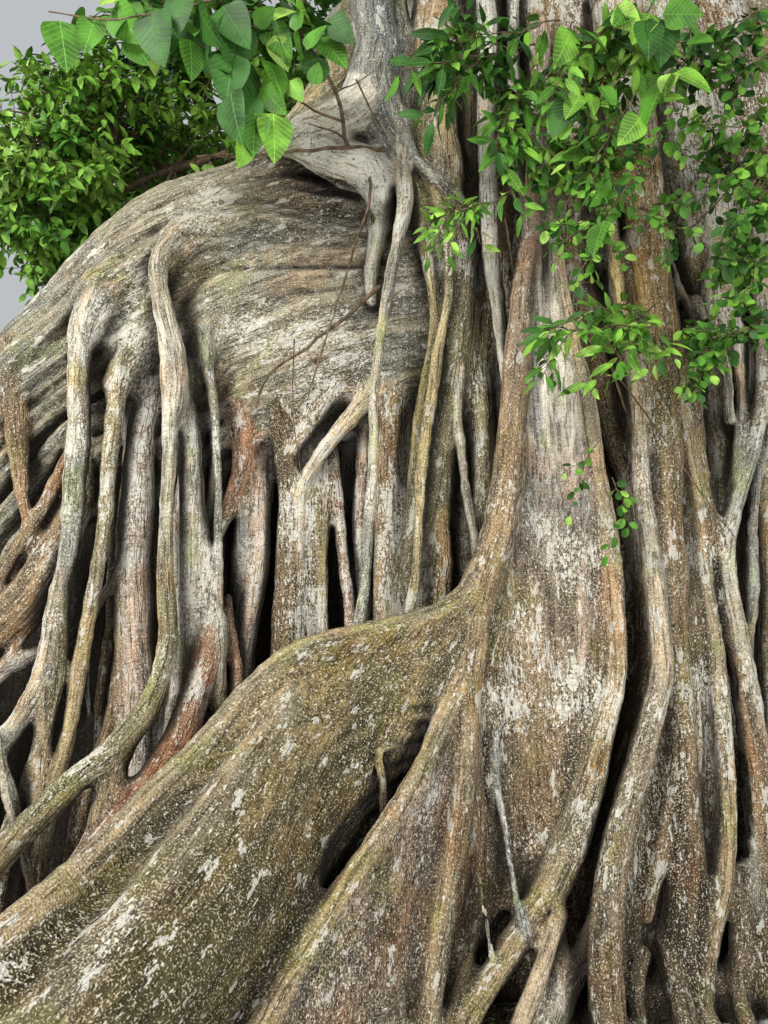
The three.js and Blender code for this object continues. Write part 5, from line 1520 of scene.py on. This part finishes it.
def grow_mass(mass, all_masses, twigs, leaves, clusters, leaf_length, shoot_length, shares=CROWN_TONES):
    """A mass: the source's stem and twigs, then finer twigs to clusters of leafy shoots all round it."""
    draw = np.random.default_rng(mass["seed"])
    start, stem_end, girth, first = skeleton(mass)
    count = 6
    line = np.linspace(0, 1, count)[:, None]
    twigs.path(lerp(start, stem_end, line), np.linspace(girth, TWIG_GIRTHS["stem_tip"], count))
    anchors = [lerp(start, stem_end, line)[2:]]
    for foot, tip in first:
        if is_own(mass, tip, all_masses):
            bend = 0.10 * np.linalg.norm(tip - foot) * np.sin(np.pi * line) * np.array([0, 0, 1.0])
            path = lerp(foot, tip, line) + bend
            twigs.path(path, np.linspace(*TWIG_GIRTHS["first"], count))
            anchors.append(path[1:])
    anchors = np.vstack(anchors)
    depths = np.linalg.norm(anchors - mass["middle"], axis=1)
    low, high = (np.array(corner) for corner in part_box(mass["name"]))
    reach = lerp(0.45, 0.96, draw.random(clusters) ** 0.6)[:, None]
    points = (low + high) / 2 + reach * (high - low) / 2 * ways_round(clusters, draw)
    points = points[is_own(mass, points, all_masses)]
    for point in points:
        further = depths > np.linalg.norm(point - mass["middle"])
        foot = anchors[np.argmin(np.linalg.norm(anchors - point, axis=1) + 0.4 * further)]
        bend = 0.12 * np.linalg.norm(point - foot) * draw.normal(size=3)
        share = np.linspace(0, 1, 4)[:, None]
        path = lerp(foot, point, share) + bend * np.sin(np.pi * share)
        twigs.path(path, np.linspace(*TWIG_GIRTHS["finer"], 4))
        outward = unit(point - mass["middle"])
        green = draw.choice(4, p=shares)
        shoots = unit(outward * 0.8 + 0.75 * draw.normal(size=(SHOOTS, 3)) + (0, 0, 0.15))
        lengths = shoot_length * lerp(0.6, 1.0, draw.random(SHOOTS))
        feet = lerp(path[2], point, draw.random((SHOOTS, 1)))
        tips = feet + shoots * lengths[:, None] - [[0, 0, 0.12 * shoot_length]]
        twigs.add(feet, tips, TWIG_GIRTHS["shoot"])
        share = np.tile(np.linspace(0.15, 1.0, SHOOT_LEAVES), SHOOTS)
        owner = np.repeat(np.arange(SHOOTS), SHOOT_LEAVES)
        bases = lerp(feet[owner], tips[owner], share[:, None])
        ways = unit(tips - feet)[owner]
        across, out = square_ways(ways)
        turn = (np.tile(np.arange(SHOOT_LEAVES), SHOOTS) * 2.4 + owner)[:, None]
        along = (0.55 * ways + np.cos(turn) * across + np.sin(turn) * out * 0.8
                 + 0.25 * draw.normal(size=bases.shape) - (0, 0, 0.35))
        up = outward + (0, 0, 0.9) + 0.3 * draw.normal(size=bases.shape)
        size = leaf_length * lerp(0.7, 1.1, draw.random(len(bases)))
        leaves.add(bases, along, up, size, green)


crown_twigs = Twigs(3)
for tier in TIERS:
    leaves = Leaves(CROWN_LEAF, CROWN_LEAF_FACES)
    mine = [m for m in masses if m["tier"] == tier["name"]]
    for mass in mine:
        grow_mass(mass, masses + SPRAYS, crown_twigs, leaves, CLUSTERS, CROWN_LEAF_LENGTH,
                  CROWN_SHOOT_LENGTH)
    piece = leaves.piece(f"foliage_{tier['name']}")
    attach(piece, "root")
    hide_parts(*[m["name"] for m in mine])
piece = crown_twigs.piece("crown_twigs")
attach(piece, "root")

# The low sprays near the trunk, as the picture shows them. A broad leaf has the x, y and z of its base, the x
# and z of its tip, which stands TIP_FORWARD nearer to the camera, and a green.
# A bare twig has a girth and a path. A leafy twig also has its leaves' kind, length, number and tones.
BROAD_LEAVES = [
    (-1.83, -1.25, 3.91, -1.71, 3.75, 1), (-1.66, -1.3, 3.86, -1.61, 3.63, 0),
    (-1.6, -1.22, 3.88, -1.51, 3.68, 0), (-1.48, -1.3, 3.89, -1.4, 3.69, 0),
    (-1.39, -1.25, 3.92, -1.28, 3.74, 0), (-1.33, -1.2, 3.9, -1.35, 3.66, 0),
    (-1.35, -1.22, 3.74, -1.37, 3.52, 0), (-1.31, -1.15, 3.76, -1.32, 3.53, 0),
    (-1.35, -1.24, 3.56, -1.32, 3.34, 0), (-1.3, -1.16, 3.59, -1.26, 3.44, 0),
    (-1.26, -1.2, 3.5, -1.26, 3.32, 1), (-1.19, -1.18, 3.51, -1.17, 3.3, 2),
    (-1.24, -1.14, 3.65, -1.15, 3.52, 1), (-1.22, -1.16, 3.75, -1.14, 3.59, 1),
    (-1.16, -1.22, 3.8, -1.13, 3.66, 1), (-1.1, -1.2, 3.85, -1.08, 3.94, 1),
    (-1.05, -1.24, 3.74, -0.98, 3.84, 1), (-0.96, -1.18, 3.69, -1.08, 3.69, 0),
    (-0.99, -1.2, 3.81, -0.89, 3.69, 1), (-0.96, -1.25, 3.87, -0.87, 3.75, 0),
    (-1.06, -1.22, 3.92, -0.96, 3.82, 0), (-1.27, -1.2, 3.88, -1.18, 3.93, 1),
    (-1.24, -1.2, 3.94, -1.32, 4.0, 0), (-1.88, -1.3, 3.83, -1.91, 3.68, 1),
    (-2.02, -1.3, 3.82, -1.97, 3.61, 1), (-1.78, -1.2, 3.85, -1.7, 3.69, 1),
    (-1.54, -1.3, 3.93, -1.55, 3.76, 0), (-1.13, -1.12, 3.69, -1.08, 3.59, 2),
    (-1.46, -1.2, 3.85, -1.49, 3.68, 0), (-1.41, -1.2, 3.77, -1.37, 3.63, 0),
    (-1.03, -1.2, 3.62, -1.0, 3.7, 1), (-1.29, -1.2, 3.38, -1.31, 3.26, 2),
    (0.17, -1.3, 3.87, 0.26, 3.77, 3), (0.25, -1.3, 3.88, 0.16, 3.79, 1), (0.31, -1.3, 3.85, 0.23, 3.72, 2),
    (0.34, -1.35, 3.81, 0.49, 3.79, 1), (0.35, -1.3, 3.83, 0.35, 3.63, 0),
    (0.29, -1.32, 3.81, 0.29, 3.64, 0), (0.02, -1.28, 3.8, 0.15, 3.71, 1),
    (0.0, -1.28, 3.79, -0.06, 3.63, 2), (0.38, -1.35, 3.57, 0.52, 3.49, 2),
    (0.36, -1.36, 3.56, 0.32, 3.46, 3), (0.36, -1.32, 3.57, 0.24, 3.38, 1),
    (0.26, -1.3, 3.42, 0.17, 3.3, 2), (0.03, -1.3, 3.51, -0.04, 3.41, 2), (0.06, -1.3, 3.52, 0.08, 3.42, 2),
    (0.11, -1.3, 3.55, 0.16, 3.45, 1), (0.0, -1.28, 3.5, -0.09, 3.35, 0), (0.11, -1.3, 3.0, 0.04, 2.86, 1),
    (0.13, -1.3, 3.2, 0.07, 3.04, 1), (-0.05, -1.28, 3.34, -0.01, 3.4, 2),
    (0.01, -1.28, 3.26, -0.06, 3.25, 1), (0.05, -1.28, 3.35, -0.04, 3.24, 1),
]
TIP_FORWARD = 0.03
BARE_TWIGS = [
    (0.012, [(-0.77, -0.66, 3.64), (-0.91, -0.72, 3.63), (-0.93, -0.84, 3.74), (-0.98, -0.95, 3.82),
        (-1.07, -1.05, 3.91), (-1.1, -1.1, 3.94), (-1.06, -1.15, 4.11)]),
    (0.01, [(-0.74, -0.66, 3.65), (-0.91, -0.74, 3.62), (-1.12, -0.84, 3.54), (-1.36, -0.95, 3.46),
        (-1.53, -1.05, 3.4)]),
    (0.007, [(-0.92, -0.82, 3.69), (-1.05, -0.95, 3.67), (-1.14, -1.05, 3.68), (-1.25, -1.1, 3.68)]),
    (0.006, [(-1.1, -1.1, 3.94), (-1.2, -1.15, 3.96), (-1.33, -1.2, 4.04)]),
    (0.005, [(-1.09, -1.08, 3.91), (-1.25, -1.12, 3.86), (-1.32, -1.15, 3.83)]),
    (0.004, [(-0.96, -0.9, 3.78), (-0.88, -0.88, 3.83), (-0.78, -0.86, 3.91)]),
    (0.006, [(-1.3, -1.25, 3.99), (-1.51, -1.28, 3.9), (-1.66, -1.3, 3.85), (-1.85, -1.32, 3.81),
        (-2.06, -1.3, 3.86)]),
    (0.004, [(-1.19, -1.0, 3.64), (-1.13, -1.03, 3.66), (-1.14, -1.05, 3.68), (-1.17, -1.05, 3.68)]),
    (0.006, [(-0.92, -0.76, 3.65), (-0.99, -0.76, 3.69), (-1.09, -0.72, 3.74)]),
    (0.005, [(-0.87, -0.8, 3.91), (-0.8, -0.76, 3.79), (-0.7, -0.72, 3.62)]),
]
LEAFY_TWIGS = [
    ("narrow", 0.13, 11, "deep", 0.0049, [(-0.06, -0.98, 3.95), (-0.25, -1.08, 3.84), (-0.43, -1.14, 3.77),
        (-0.67, -1.16, 3.73)]),
    ("narrow", 0.13, 9, "deep", 0.0041, [(-0.34, -1.12, 3.8), (-0.44, -1.14, 3.66), (-0.56, -1.16, 3.5)]),
    ("narrow", 0.13, 11, "deep", 0.0041, [(0.02, -1.0, 4.05), (-0.16, -1.08, 3.94), (-0.34, -1.14, 3.88),
        (-0.51, -1.18, 3.84)]),
    ("narrow", 0.13, 10, "mixed", 0.0041, [(0.02, -1.0, 3.86), (-0.12, -1.06, 3.69), (-0.24, -1.1, 3.53),
        (-0.26, -1.12, 3.34)]),
    ("narrow", 0.09, 9, "mixed", 0.0037, [(-0.04, -1.0, 3.68), (-0.17, -1.08, 3.45), (-0.23, -1.12, 3.28),
        (-0.18, -1.12, 3.13)]),
    ("narrow", 0.1, 12, "mixed", 0.0048, [(0.34, -1.1, 4.11), (0.14, -1.2, 3.85), (0.0, -1.24, 3.7),
        (-0.09, -1.24, 3.49)]),
    ("narrow", 0.09, 12, "mixed", 0.0048, [(0.59, -1.1, 4.06), (0.38, -1.2, 3.81), (0.2, -1.24, 3.61),
        (0.08, -1.24, 3.44), (0.02, -1.22, 3.33)]),
    ("narrow", 0.07, 12, "mixed", 0.0039, [(0.29, -1.2, 3.6), (0.16, -1.24, 3.4), (0.09, -1.26, 3.23),
        (0.1, -1.26, 2.98)]),
    ("narrow", 0.08, 8, "young", 0.0037, [(-0.16, -1.0, 3.28), (-0.3, -1.06, 3.2), (-0.43, -1.1, 3.14),
        (-0.54, -1.12, 3.0)]),
    ("narrow", 0.07, 6, "young", 0.0033, [(-0.31, -1.04, 3.2), (-0.42, -1.08, 3.13), (-0.48, -1.1, 2.97)]),
    ("narrow", 0.1, 9, "young", 0.0047, [(0.43, -0.98, 2.8), (0.26, -1.08, 2.67), (0.12, -1.14, 2.63),
        (-0.04, -1.18, 2.6)]),
    ("narrow", 0.11, 9, "young", 0.0043, [(0.32, -1.05, 2.73), (0.26, -1.1, 2.58), (0.17, -1.14, 2.45),
        (0.08, -1.16, 2.4)]),
    ("narrow", 0.1, 7, "mixed", 0.0039, [(0.23, -1.05, 2.7), (0.12, -1.1, 2.73), (0.0, -1.16, 2.65),
        (-0.09, -1.18, 2.61)]),
    ("narrow", 0.1, 6, "young", 0.004, [(0.29, -1.05, 2.68), (0.36, -1.08, 2.64), (0.38, -1.1, 2.54),
        (0.31, -1.12, 2.44)]),
    ("round", 0.05, 12, "mixed", 0.0032, [(0.32, -1.1, 3.53), (0.17, -1.18, 3.35), (0.04, -1.22, 3.22),
        (-0.1, -1.22, 3.16)]),
    ("round", 0.05, 12, "mixed", 0.0031, [(0.32, -1.1, 3.44), (0.26, -1.18, 3.23), (0.15, -1.22, 3.07),
        (0.03, -1.24, 2.95), (-0.07, -1.24, 2.86)]),
    ("round", 0.05, 12, "mixed", 0.0031, [(0.22, -1.15, 3.16), (0.12, -1.2, 2.98), (0.05, -1.22, 2.87),
        (0.0, -1.22, 2.78)]),
    ("round", 0.05, 9, "mixed", 0.0028, [(0.13, -1.15, 3.1), (0.03, -1.2, 3.04), (-0.06, -1.2, 3.01),
        (-0.08, -1.2, 2.94)]),
    ("round", 0.05, 12, "mixed", 0.0032, [(0.51, -1.05, 3.65), (0.4, -1.12, 3.47), (0.3, -1.15, 3.33),
        (0.25, -1.16, 3.15)]),
    ("round", 0.05, 10, "mixed", 0.0033, [(0.58, -1.05, 3.3), (0.45, -1.1, 3.18), (0.37, -1.12, 3.15),
        (0.3, -1.12, 3.06)]),
    ("round", 0.06, 14, "mixed", 0.0037, [(1.03, -0.95, 3.76), (0.81, -1.05, 3.56), (0.65, -1.1, 3.49),
        (0.52, -1.12, 3.51)]),
    ("round", 0.06, 14, "mixed", 0.0037, [(1.02, -0.95, 3.48), (0.82, -1.05, 3.38), (0.67, -1.1, 3.29),
        (0.55, -1.12, 3.19)]),
    ("round", 0.06, 14, "deep", 0.0037, [(1.01, -0.95, 3.26), (0.81, -1.05, 3.18), (0.7, -1.1, 3.06),
        (0.62, -1.12, 2.88)]),
    ("round", 0.06, 14, "mixed", 0.0036, [(1.0, -0.95, 3.03), (0.82, -1.05, 2.94), (0.73, -1.1, 2.8),
        (0.59, -1.12, 2.74)]),
    ("round", 0.06, 14, "deep", 0.0036, [(0.99, -0.95, 2.81), (0.83, -1.05, 2.71), (0.72, -1.1, 2.63),
        (0.58, -1.12, 2.58)]),
    ("round", 0.05, 12, "mixed", 0.0032, [(0.98, -0.95, 2.68), (0.79, -1.05, 2.62), (0.62, -1.1, 2.63),
        (0.48, -1.12, 2.64)]),
    ("round", 0.05, 12, "mixed", 0.0032, [(0.75, -1.0, 2.67), (0.61, -1.08, 2.57), (0.51, -1.1, 2.5),
        (0.47, -1.1, 2.38)]),
    ("round", 0.05, 8, "mixed", 0.0028, [(0.67, -1.0, 2.71), (0.57, -1.06, 2.55), (0.55, -1.08, 2.43)]),
    ("round", 0.06, 14, "deep", 0.0039, [(1.01, -0.95, 4.18), (0.81, -1.0, 4.05), (0.68, -1.02, 3.97),
        (0.62, -1.02, 3.85)]),
    ("round", 0.06, 12, "deep", 0.0038, [(1.04, -0.95, 3.99), (0.88, -1.0, 3.86), (0.77, -1.05, 3.72),
        (0.68, -1.05, 3.56)]),
    ("round", 0.06, 12, "mixed", 0.0037, [(0.97, -0.9, 3.65), (0.88, -1.0, 3.32), (0.79, -1.05, 3.08),
        (0.76, -1.05, 2.86)]),
    ("round", 0.05, 8, "mixed", 0.0029, [(0.56, -1.0, 3.23), (0.47, -1.06, 3.09), (0.44, -1.08, 2.93)]),
    ("round", 0.04, 4, "mixed", 0.002, [(0.12, -1.1, 2.18), (0.06, -1.12, 2.09), (0.02, -1.12, 1.99)]),
    ("round", 0.05, 5, "mixed", 0.002, [(0.17, -1.08, 2.02), (0.21, -1.1, 1.94), (0.23, -1.1, 1.83)]),
    ("round", 0.04, 4, "mixed", 0.002, [(-0.04, -1.1, 2.55), (-0.1, -1.12, 2.5), (-0.13, -1.12, 2.45)]),
]
VINES = [
    (0.011, [(-0.76, -0.7, 2.97), (-1.04, -0.66, 2.74), (-1.27, -0.62, 2.58), (-1.34, -0.6, 2.42)]),
    (0.008, [(-0.89, -0.66, 3.63), (-0.8, -0.7, 3.45), (-0.89, -0.7, 3.11), (-0.99, -0.68, 2.79),
        (-1.09, -0.66, 2.45)]),
    (0.006, [(-0.19, -0.78, 3.25), (-0.16, -0.82, 2.95), (-0.12, -0.86, 2.72)]),
    (0.005, [(0.14, -0.84, 2.7), (0.4, -0.9, 2.3), (0.62, -0.92, 1.95), (0.74, -0.9, 1.8)]),
    (0.006, [(0.42, -0.8, 3.3), (0.62, -0.8, 3.2), (0.85, -0.74, 3.42)]),
    (0.004, [(-1.16, -0.62, 2.75), (-1.16, -0.62, 2.4), (-1.12, -0.6, 2.1)]),
    (0.004, [(-1.5, -0.66, 1.15), (-1.46, -0.7, 0.95), (-1.48, -0.72, 0.8)]),
    (0.007, [(0.3, -0.7, 2.6), (0.34, -0.78, 2.35), (0.44, -0.86, 2.22)]),
]
SIDE_TWIGS = 2  # for each leafy twig
# More leafy twigs that fill a space by a seeded rule: kind, length, number and tones of the twigs, and the
# space's middle and half size
TUFTS = [
    ("broad", 0.16, 9, "mixed", (-1.46, -1.15, 3.92), (0.42, 0.14, 0.14)),
    ("broad", 0.14, 6, "mixed", (-1.14, -1.10, 3.88), (0.14, 0.12, 0.12)),
    ("broad", 0.13, 5, "mixed", (-1.80, -1.20, 3.90), (0.30, 0.10, 0.12)),
    ("narrow", 0.12, 11, "deep", (-0.36, -1.05, 3.80), (0.21, 0.16, 0.18)),
    ("narrow", 0.11, 11, "mixed", (-0.12, -1.05, 3.62), (0.22, 0.14, 0.22)),
    ("narrow", 0.11, 14, "mixed", (0.22, -1.05, 3.72), (0.26, 0.16, 0.24)),
    ("broad", 0.13, 8, "mixed", (0.30, -1.15, 3.80), (0.34, 0.12, 0.14)),
    ("round", 0.06, 16, "mixed", (0.12, -1.05, 3.30), (0.26, 0.14, 0.20)),
    ("narrow", 0.10, 9, "mixed", (0.05, -1.05, 3.36), (0.24, 0.12, 0.16)),
    ("round", 0.065, 16, "deep", (0.66, -0.98, 3.82), (0.30, 0.14, 0.26)),
    ("round", 0.06, 16, "deep", (0.78, -0.95, 3.36), (0.24, 0.12, 0.26)),
    ("round", 0.06, 12, "mixed", (0.80, -0.95, 2.92), (0.20, 0.10, 0.22)),
    ("narrow", 0.10, 6, "young", (0.22, -1.05, 2.66), (0.20, 0.10, 0.12)),
    ("narrow", 0.08, 5, "young", (-0.40, -1.00, 3.14), (0.14, 0.08, 0.12)),
    ("round", 0.055, 6, "mixed", (0.60, -1.00, 2.60), (0.14, 0.08, 0.12)),
]
# Shares of the four greens; the young tones lean on the lightest green, partly painted backlight
TONES = {"deep": (0.55, 0.35, 0.10, 0.0), "mixed": (0.25, 0.45, 0.22, 0.08),
         "young": (0.05, 0.30, 0.40, 0.25)}
# Half of a leaf's width and where it is widest, as shares of its length, and how full its outline is
LEAF_KINDS = {"broad": (0.36, 0.32, 0.75), "narrow": (0.17, 0.42, 0.9), "round": (0.34, 0.52, 0.55)}
LEAF_STEPS = 9
NEAR_SEED = 97
# The bush behind the arch: its clusters, and the lengths of its leaves and shoots
BUSH_CLUSTERS, BUSH_LEAF, BUSH_SHOOT = 240, 0.12, 0.45


def leaf_outline(kind):
    """A leaf along its midrib, folded up at both sides and curved down to its tip."""
    width, widest, power = LEAF_KINDS[kind]
    points, faces = [], []
    for i in range(LEAF_STEPS):
        t = i / (LEAF_STEPS - 1)
        bend = t ** (math.log(0.5) / math.log(widest))
        half = width * math.sin(math.pi * bend) ** power
        droop = -0.16 * t * t
        points += [(t, half, droop + 0.22 * half), (t, 0, droop), (t, -half, droop + 0.22 * half)]
    for i in range(LEAF_STEPS - 1):
        k = 3 * i
        faces += [(k, k + 1, k + 4, k + 3), (k + 1, k + 2, k + 5, k + 4)]
    return np.array(points), np.array(faces)


near_twigs = Twigs(5)
near_leaves = {kind: Leaves(*leaf_outline(kind)) for kind in LEAF_KINDS}
draw = np.random.default_rng(NEAR_SEED)
leaf_table = np.array(BROAD_LEAVES)
bases, tones = leaf_table[:, :3], leaf_table[:, 5].astype(int)
tips = np.column_stack([leaf_table[:, 3], bases[:, 1] - TIP_FORWARD, leaf_table[:, 4]])
facing = unit(np.array(CAMERA_PLACE) - bases) + 0.45 * draw.normal(size=bases.shape) + (0, 0, 0.4)
near_leaves["broad"].add(bases, tips - bases, facing, np.linalg.norm(tips - bases, axis=1), tones)
for girth, path in BARE_TWIGS + VINES:
    line = smooth_path([(*p, 0) for p in path], 0.05)[:, :3]
    line += 0.3 * girth * draw.normal(size=line.shape)
    near_twigs.path(line, np.linspace(girth, 0.45 * girth, len(line)))
leafy = []
for kind, length, count, tone, girth, path in LEAFY_TWIGS:
    line = smooth_path([(*p, 0) for p in path], 0.04)[:, :3]
    line += 0.006 * draw.normal(size=line.shape)
    leafy.append((kind, length, 2 * count, tone, girth, line))
    for _ in range(SIDE_TWIGS):
        k = draw.integers(len(line) // 4, len(line) - 1)
        way = unit(unit(line[k + 1] - line[k]) + 1.1 * draw.normal(size=3) * (1, 0.6, 1))
        reach = lerp(0.08, 0.20, draw.random())
        share = np.linspace(0, 1, 7)[:, None]
        side_line = line[k] + share * reach * way - share ** 2 * (0, 0, 0.3 * reach)
        leafy.append((kind, length, count, tone, 0.7 * girth, side_line))
for kind, length, count, tone, middle, size in TUFTS:
    for way in ways_round(count, draw):
        tip = np.array(middle) + lerp(0.55, 1.0, draw.random()) * way * size
        foot = lerp(np.array(middle), tip, 0.25 * draw.random()) + (0, 0.15, 0.10)
        share = np.linspace(0, 1, 8)[:, None]
        bend = 0.25 * np.linalg.norm(tip - foot) * np.array([0, -0.3, 0.8])
        line = lerp(foot, tip, share) + np.sin(np.pi * share) * bend + 0.004 * draw.normal(size=(8, 3))
        leafy.append((kind, length, 5 if kind == "broad" else 9, tone, 0.0035, line))
for kind, length, count, tone, girth, line in leafy:
    near_twigs.path(line, np.linspace(girth, 0.4 * girth, len(line)))
    where = np.linspace(0.12, 1, count) * (len(line) - 1)
    index = np.minimum(where.astype(int), len(line) - 2)
    foot = lerp(line[index], line[index + 1], (where - index)[:, None])
    way = unit(line[index + 1] - line[index])
    across, out = square_ways(way)
    turn = (np.arange(len(foot)) * 2.4 + draw.random(len(foot)))[:, None]
    leaf_way = 0.6 * way + np.cos(turn) * across + 0.7 * np.sin(turn) * out - (0, 0.1, 0.35)
    leaf_way = unit(leaf_way + 0.25 * draw.normal(size=foot.shape))
    size = length * lerp(0.65, 1.15, draw.random(len(foot)))
    base = foot + leaf_way * 0.25 * size[:, None]
    near_twigs.add(foot, base, (0.0018, 0.0012))
    face_up = unit(np.array(CAMERA_PLACE) - base) * 0.8 + (0, 0, 0.9) + 0.45 * draw.normal(size=foot.shape)
    near_leaves[kind].add(base, leaf_way, face_up, size, draw.choice(4, len(foot), p=TONES[tone]))
far_leaves = Leaves(CROWN_LEAF, CROWN_LEAF_FACES)
# The bush takes the young tones: partly young leaves, partly painted light standing in for its backlit glow
grow_mass(SPRAYS[2], masses + SPRAYS, near_twigs, far_leaves, BUSH_CLUSTERS, BUSH_LEAF, BUSH_SHOOT,
          TONES["young"])
pieces = [near_leaves["broad"].piece("foliage_front_left", True),
          near_leaves["narrow"].piece("foliage_front_right", True),
          near_leaves["round"].piece("foliage_round_leaves", True), far_leaves.piece("foliage_back_left")]
for piece, spray in zip(pieces, ("spray_front_left", "spray_front_right", None, "spray_back_left")):
    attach(piece, "root")
    if spray:
        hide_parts(spray)
piece = near_twigs.piece("spray_twigs")
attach(piece, "root")


# The stage: floor, light and camera
SKY_STRENGTH = 0.55
# Each light's place, target, size, power and colour
LIGHTS = {
    "key_light": ((-5.0, -7.0, 7.5), (-0.8, -0.5, 1.8), 4.0, 1450, (1.0, 0.99, 0.97)),
    "fill_light": ((3.5, -8.0, 3.0), (-0.5, -0.5, 1.8), 5.0, 350, (0.94, 0.97, 1.0)),
    "rim_light": ((-9.5, 2.5, 8.0), (-2.9, 2.3, 5.0), 4.0, 500, (1.0, 1.0, 0.96)),
}
FLOOR_REACH, FLOOR_DROP, FLOOR_COLOUR = 40, 0.003, (0.62, 0.60, 0.56, 1)


def area_light(name, place, target, size, power, colour):
    """A round soft light that points at its target."""
    data = bpy.data.lights.new(name, "AREA")
    data.shape = "DISK"
    data.size = size
    data.energy = power
    data.color = colour
    light = bpy.data.objects.new(name, data)
    light.location = place
    light.rotation_euler = (Vector(target) - Vector(place)).to_track_quat("-Z", "Y").to_euler()
    bpy.context.scene.collection.objects.link(light)


paint, _, shader = new_material("floor_paint")
shader.inputs["Base Color"].default_value = FLOOR_COLOUR
shader.inputs["Roughness"].default_value = 0.9
corners = FLOOR_REACH * np.array([(-1, -1, 0), (1, -1, 0), (1, 1, 0), (-1, 1, 0)]) - (0, 0, FLOOR_DROP)
floor = new_mesh("floor", corners, np.array([(0, 1, 2, 3)]), [paint])

world = bpy.data.worlds.new("soft_sky")
world.use_nodes = True
sky = world.node_tree.nodes["Background"].inputs
sky["Color"].default_value = (0.92, 0.96, 1.0, 1)
sky["Strength"].default_value = SKY_STRENGTH
bpy.context.scene.world = world
for name, light in LIGHTS.items():
    area_light(name, *light)
bpy.context.scene.view_settings.view_transform = "Standard"

camera_data = bpy.data.cameras.new("camera")
camera_data.sensor_fit = "VERTICAL"
camera_data.sensor_height = CAMERA_SENSOR
camera_data.lens = CAMERA_LENS
camera = bpy.data.objects.new("camera", camera_data)
camera.location = CAMERA_PLACE
camera.rotation_euler = (math.pi / 2 + CAMERA_PITCH, 0, 0)
bpy.context.scene.collection.objects.link(camera)
bpy.context.scene.camera = camera

bpy.context.view_layer.update()
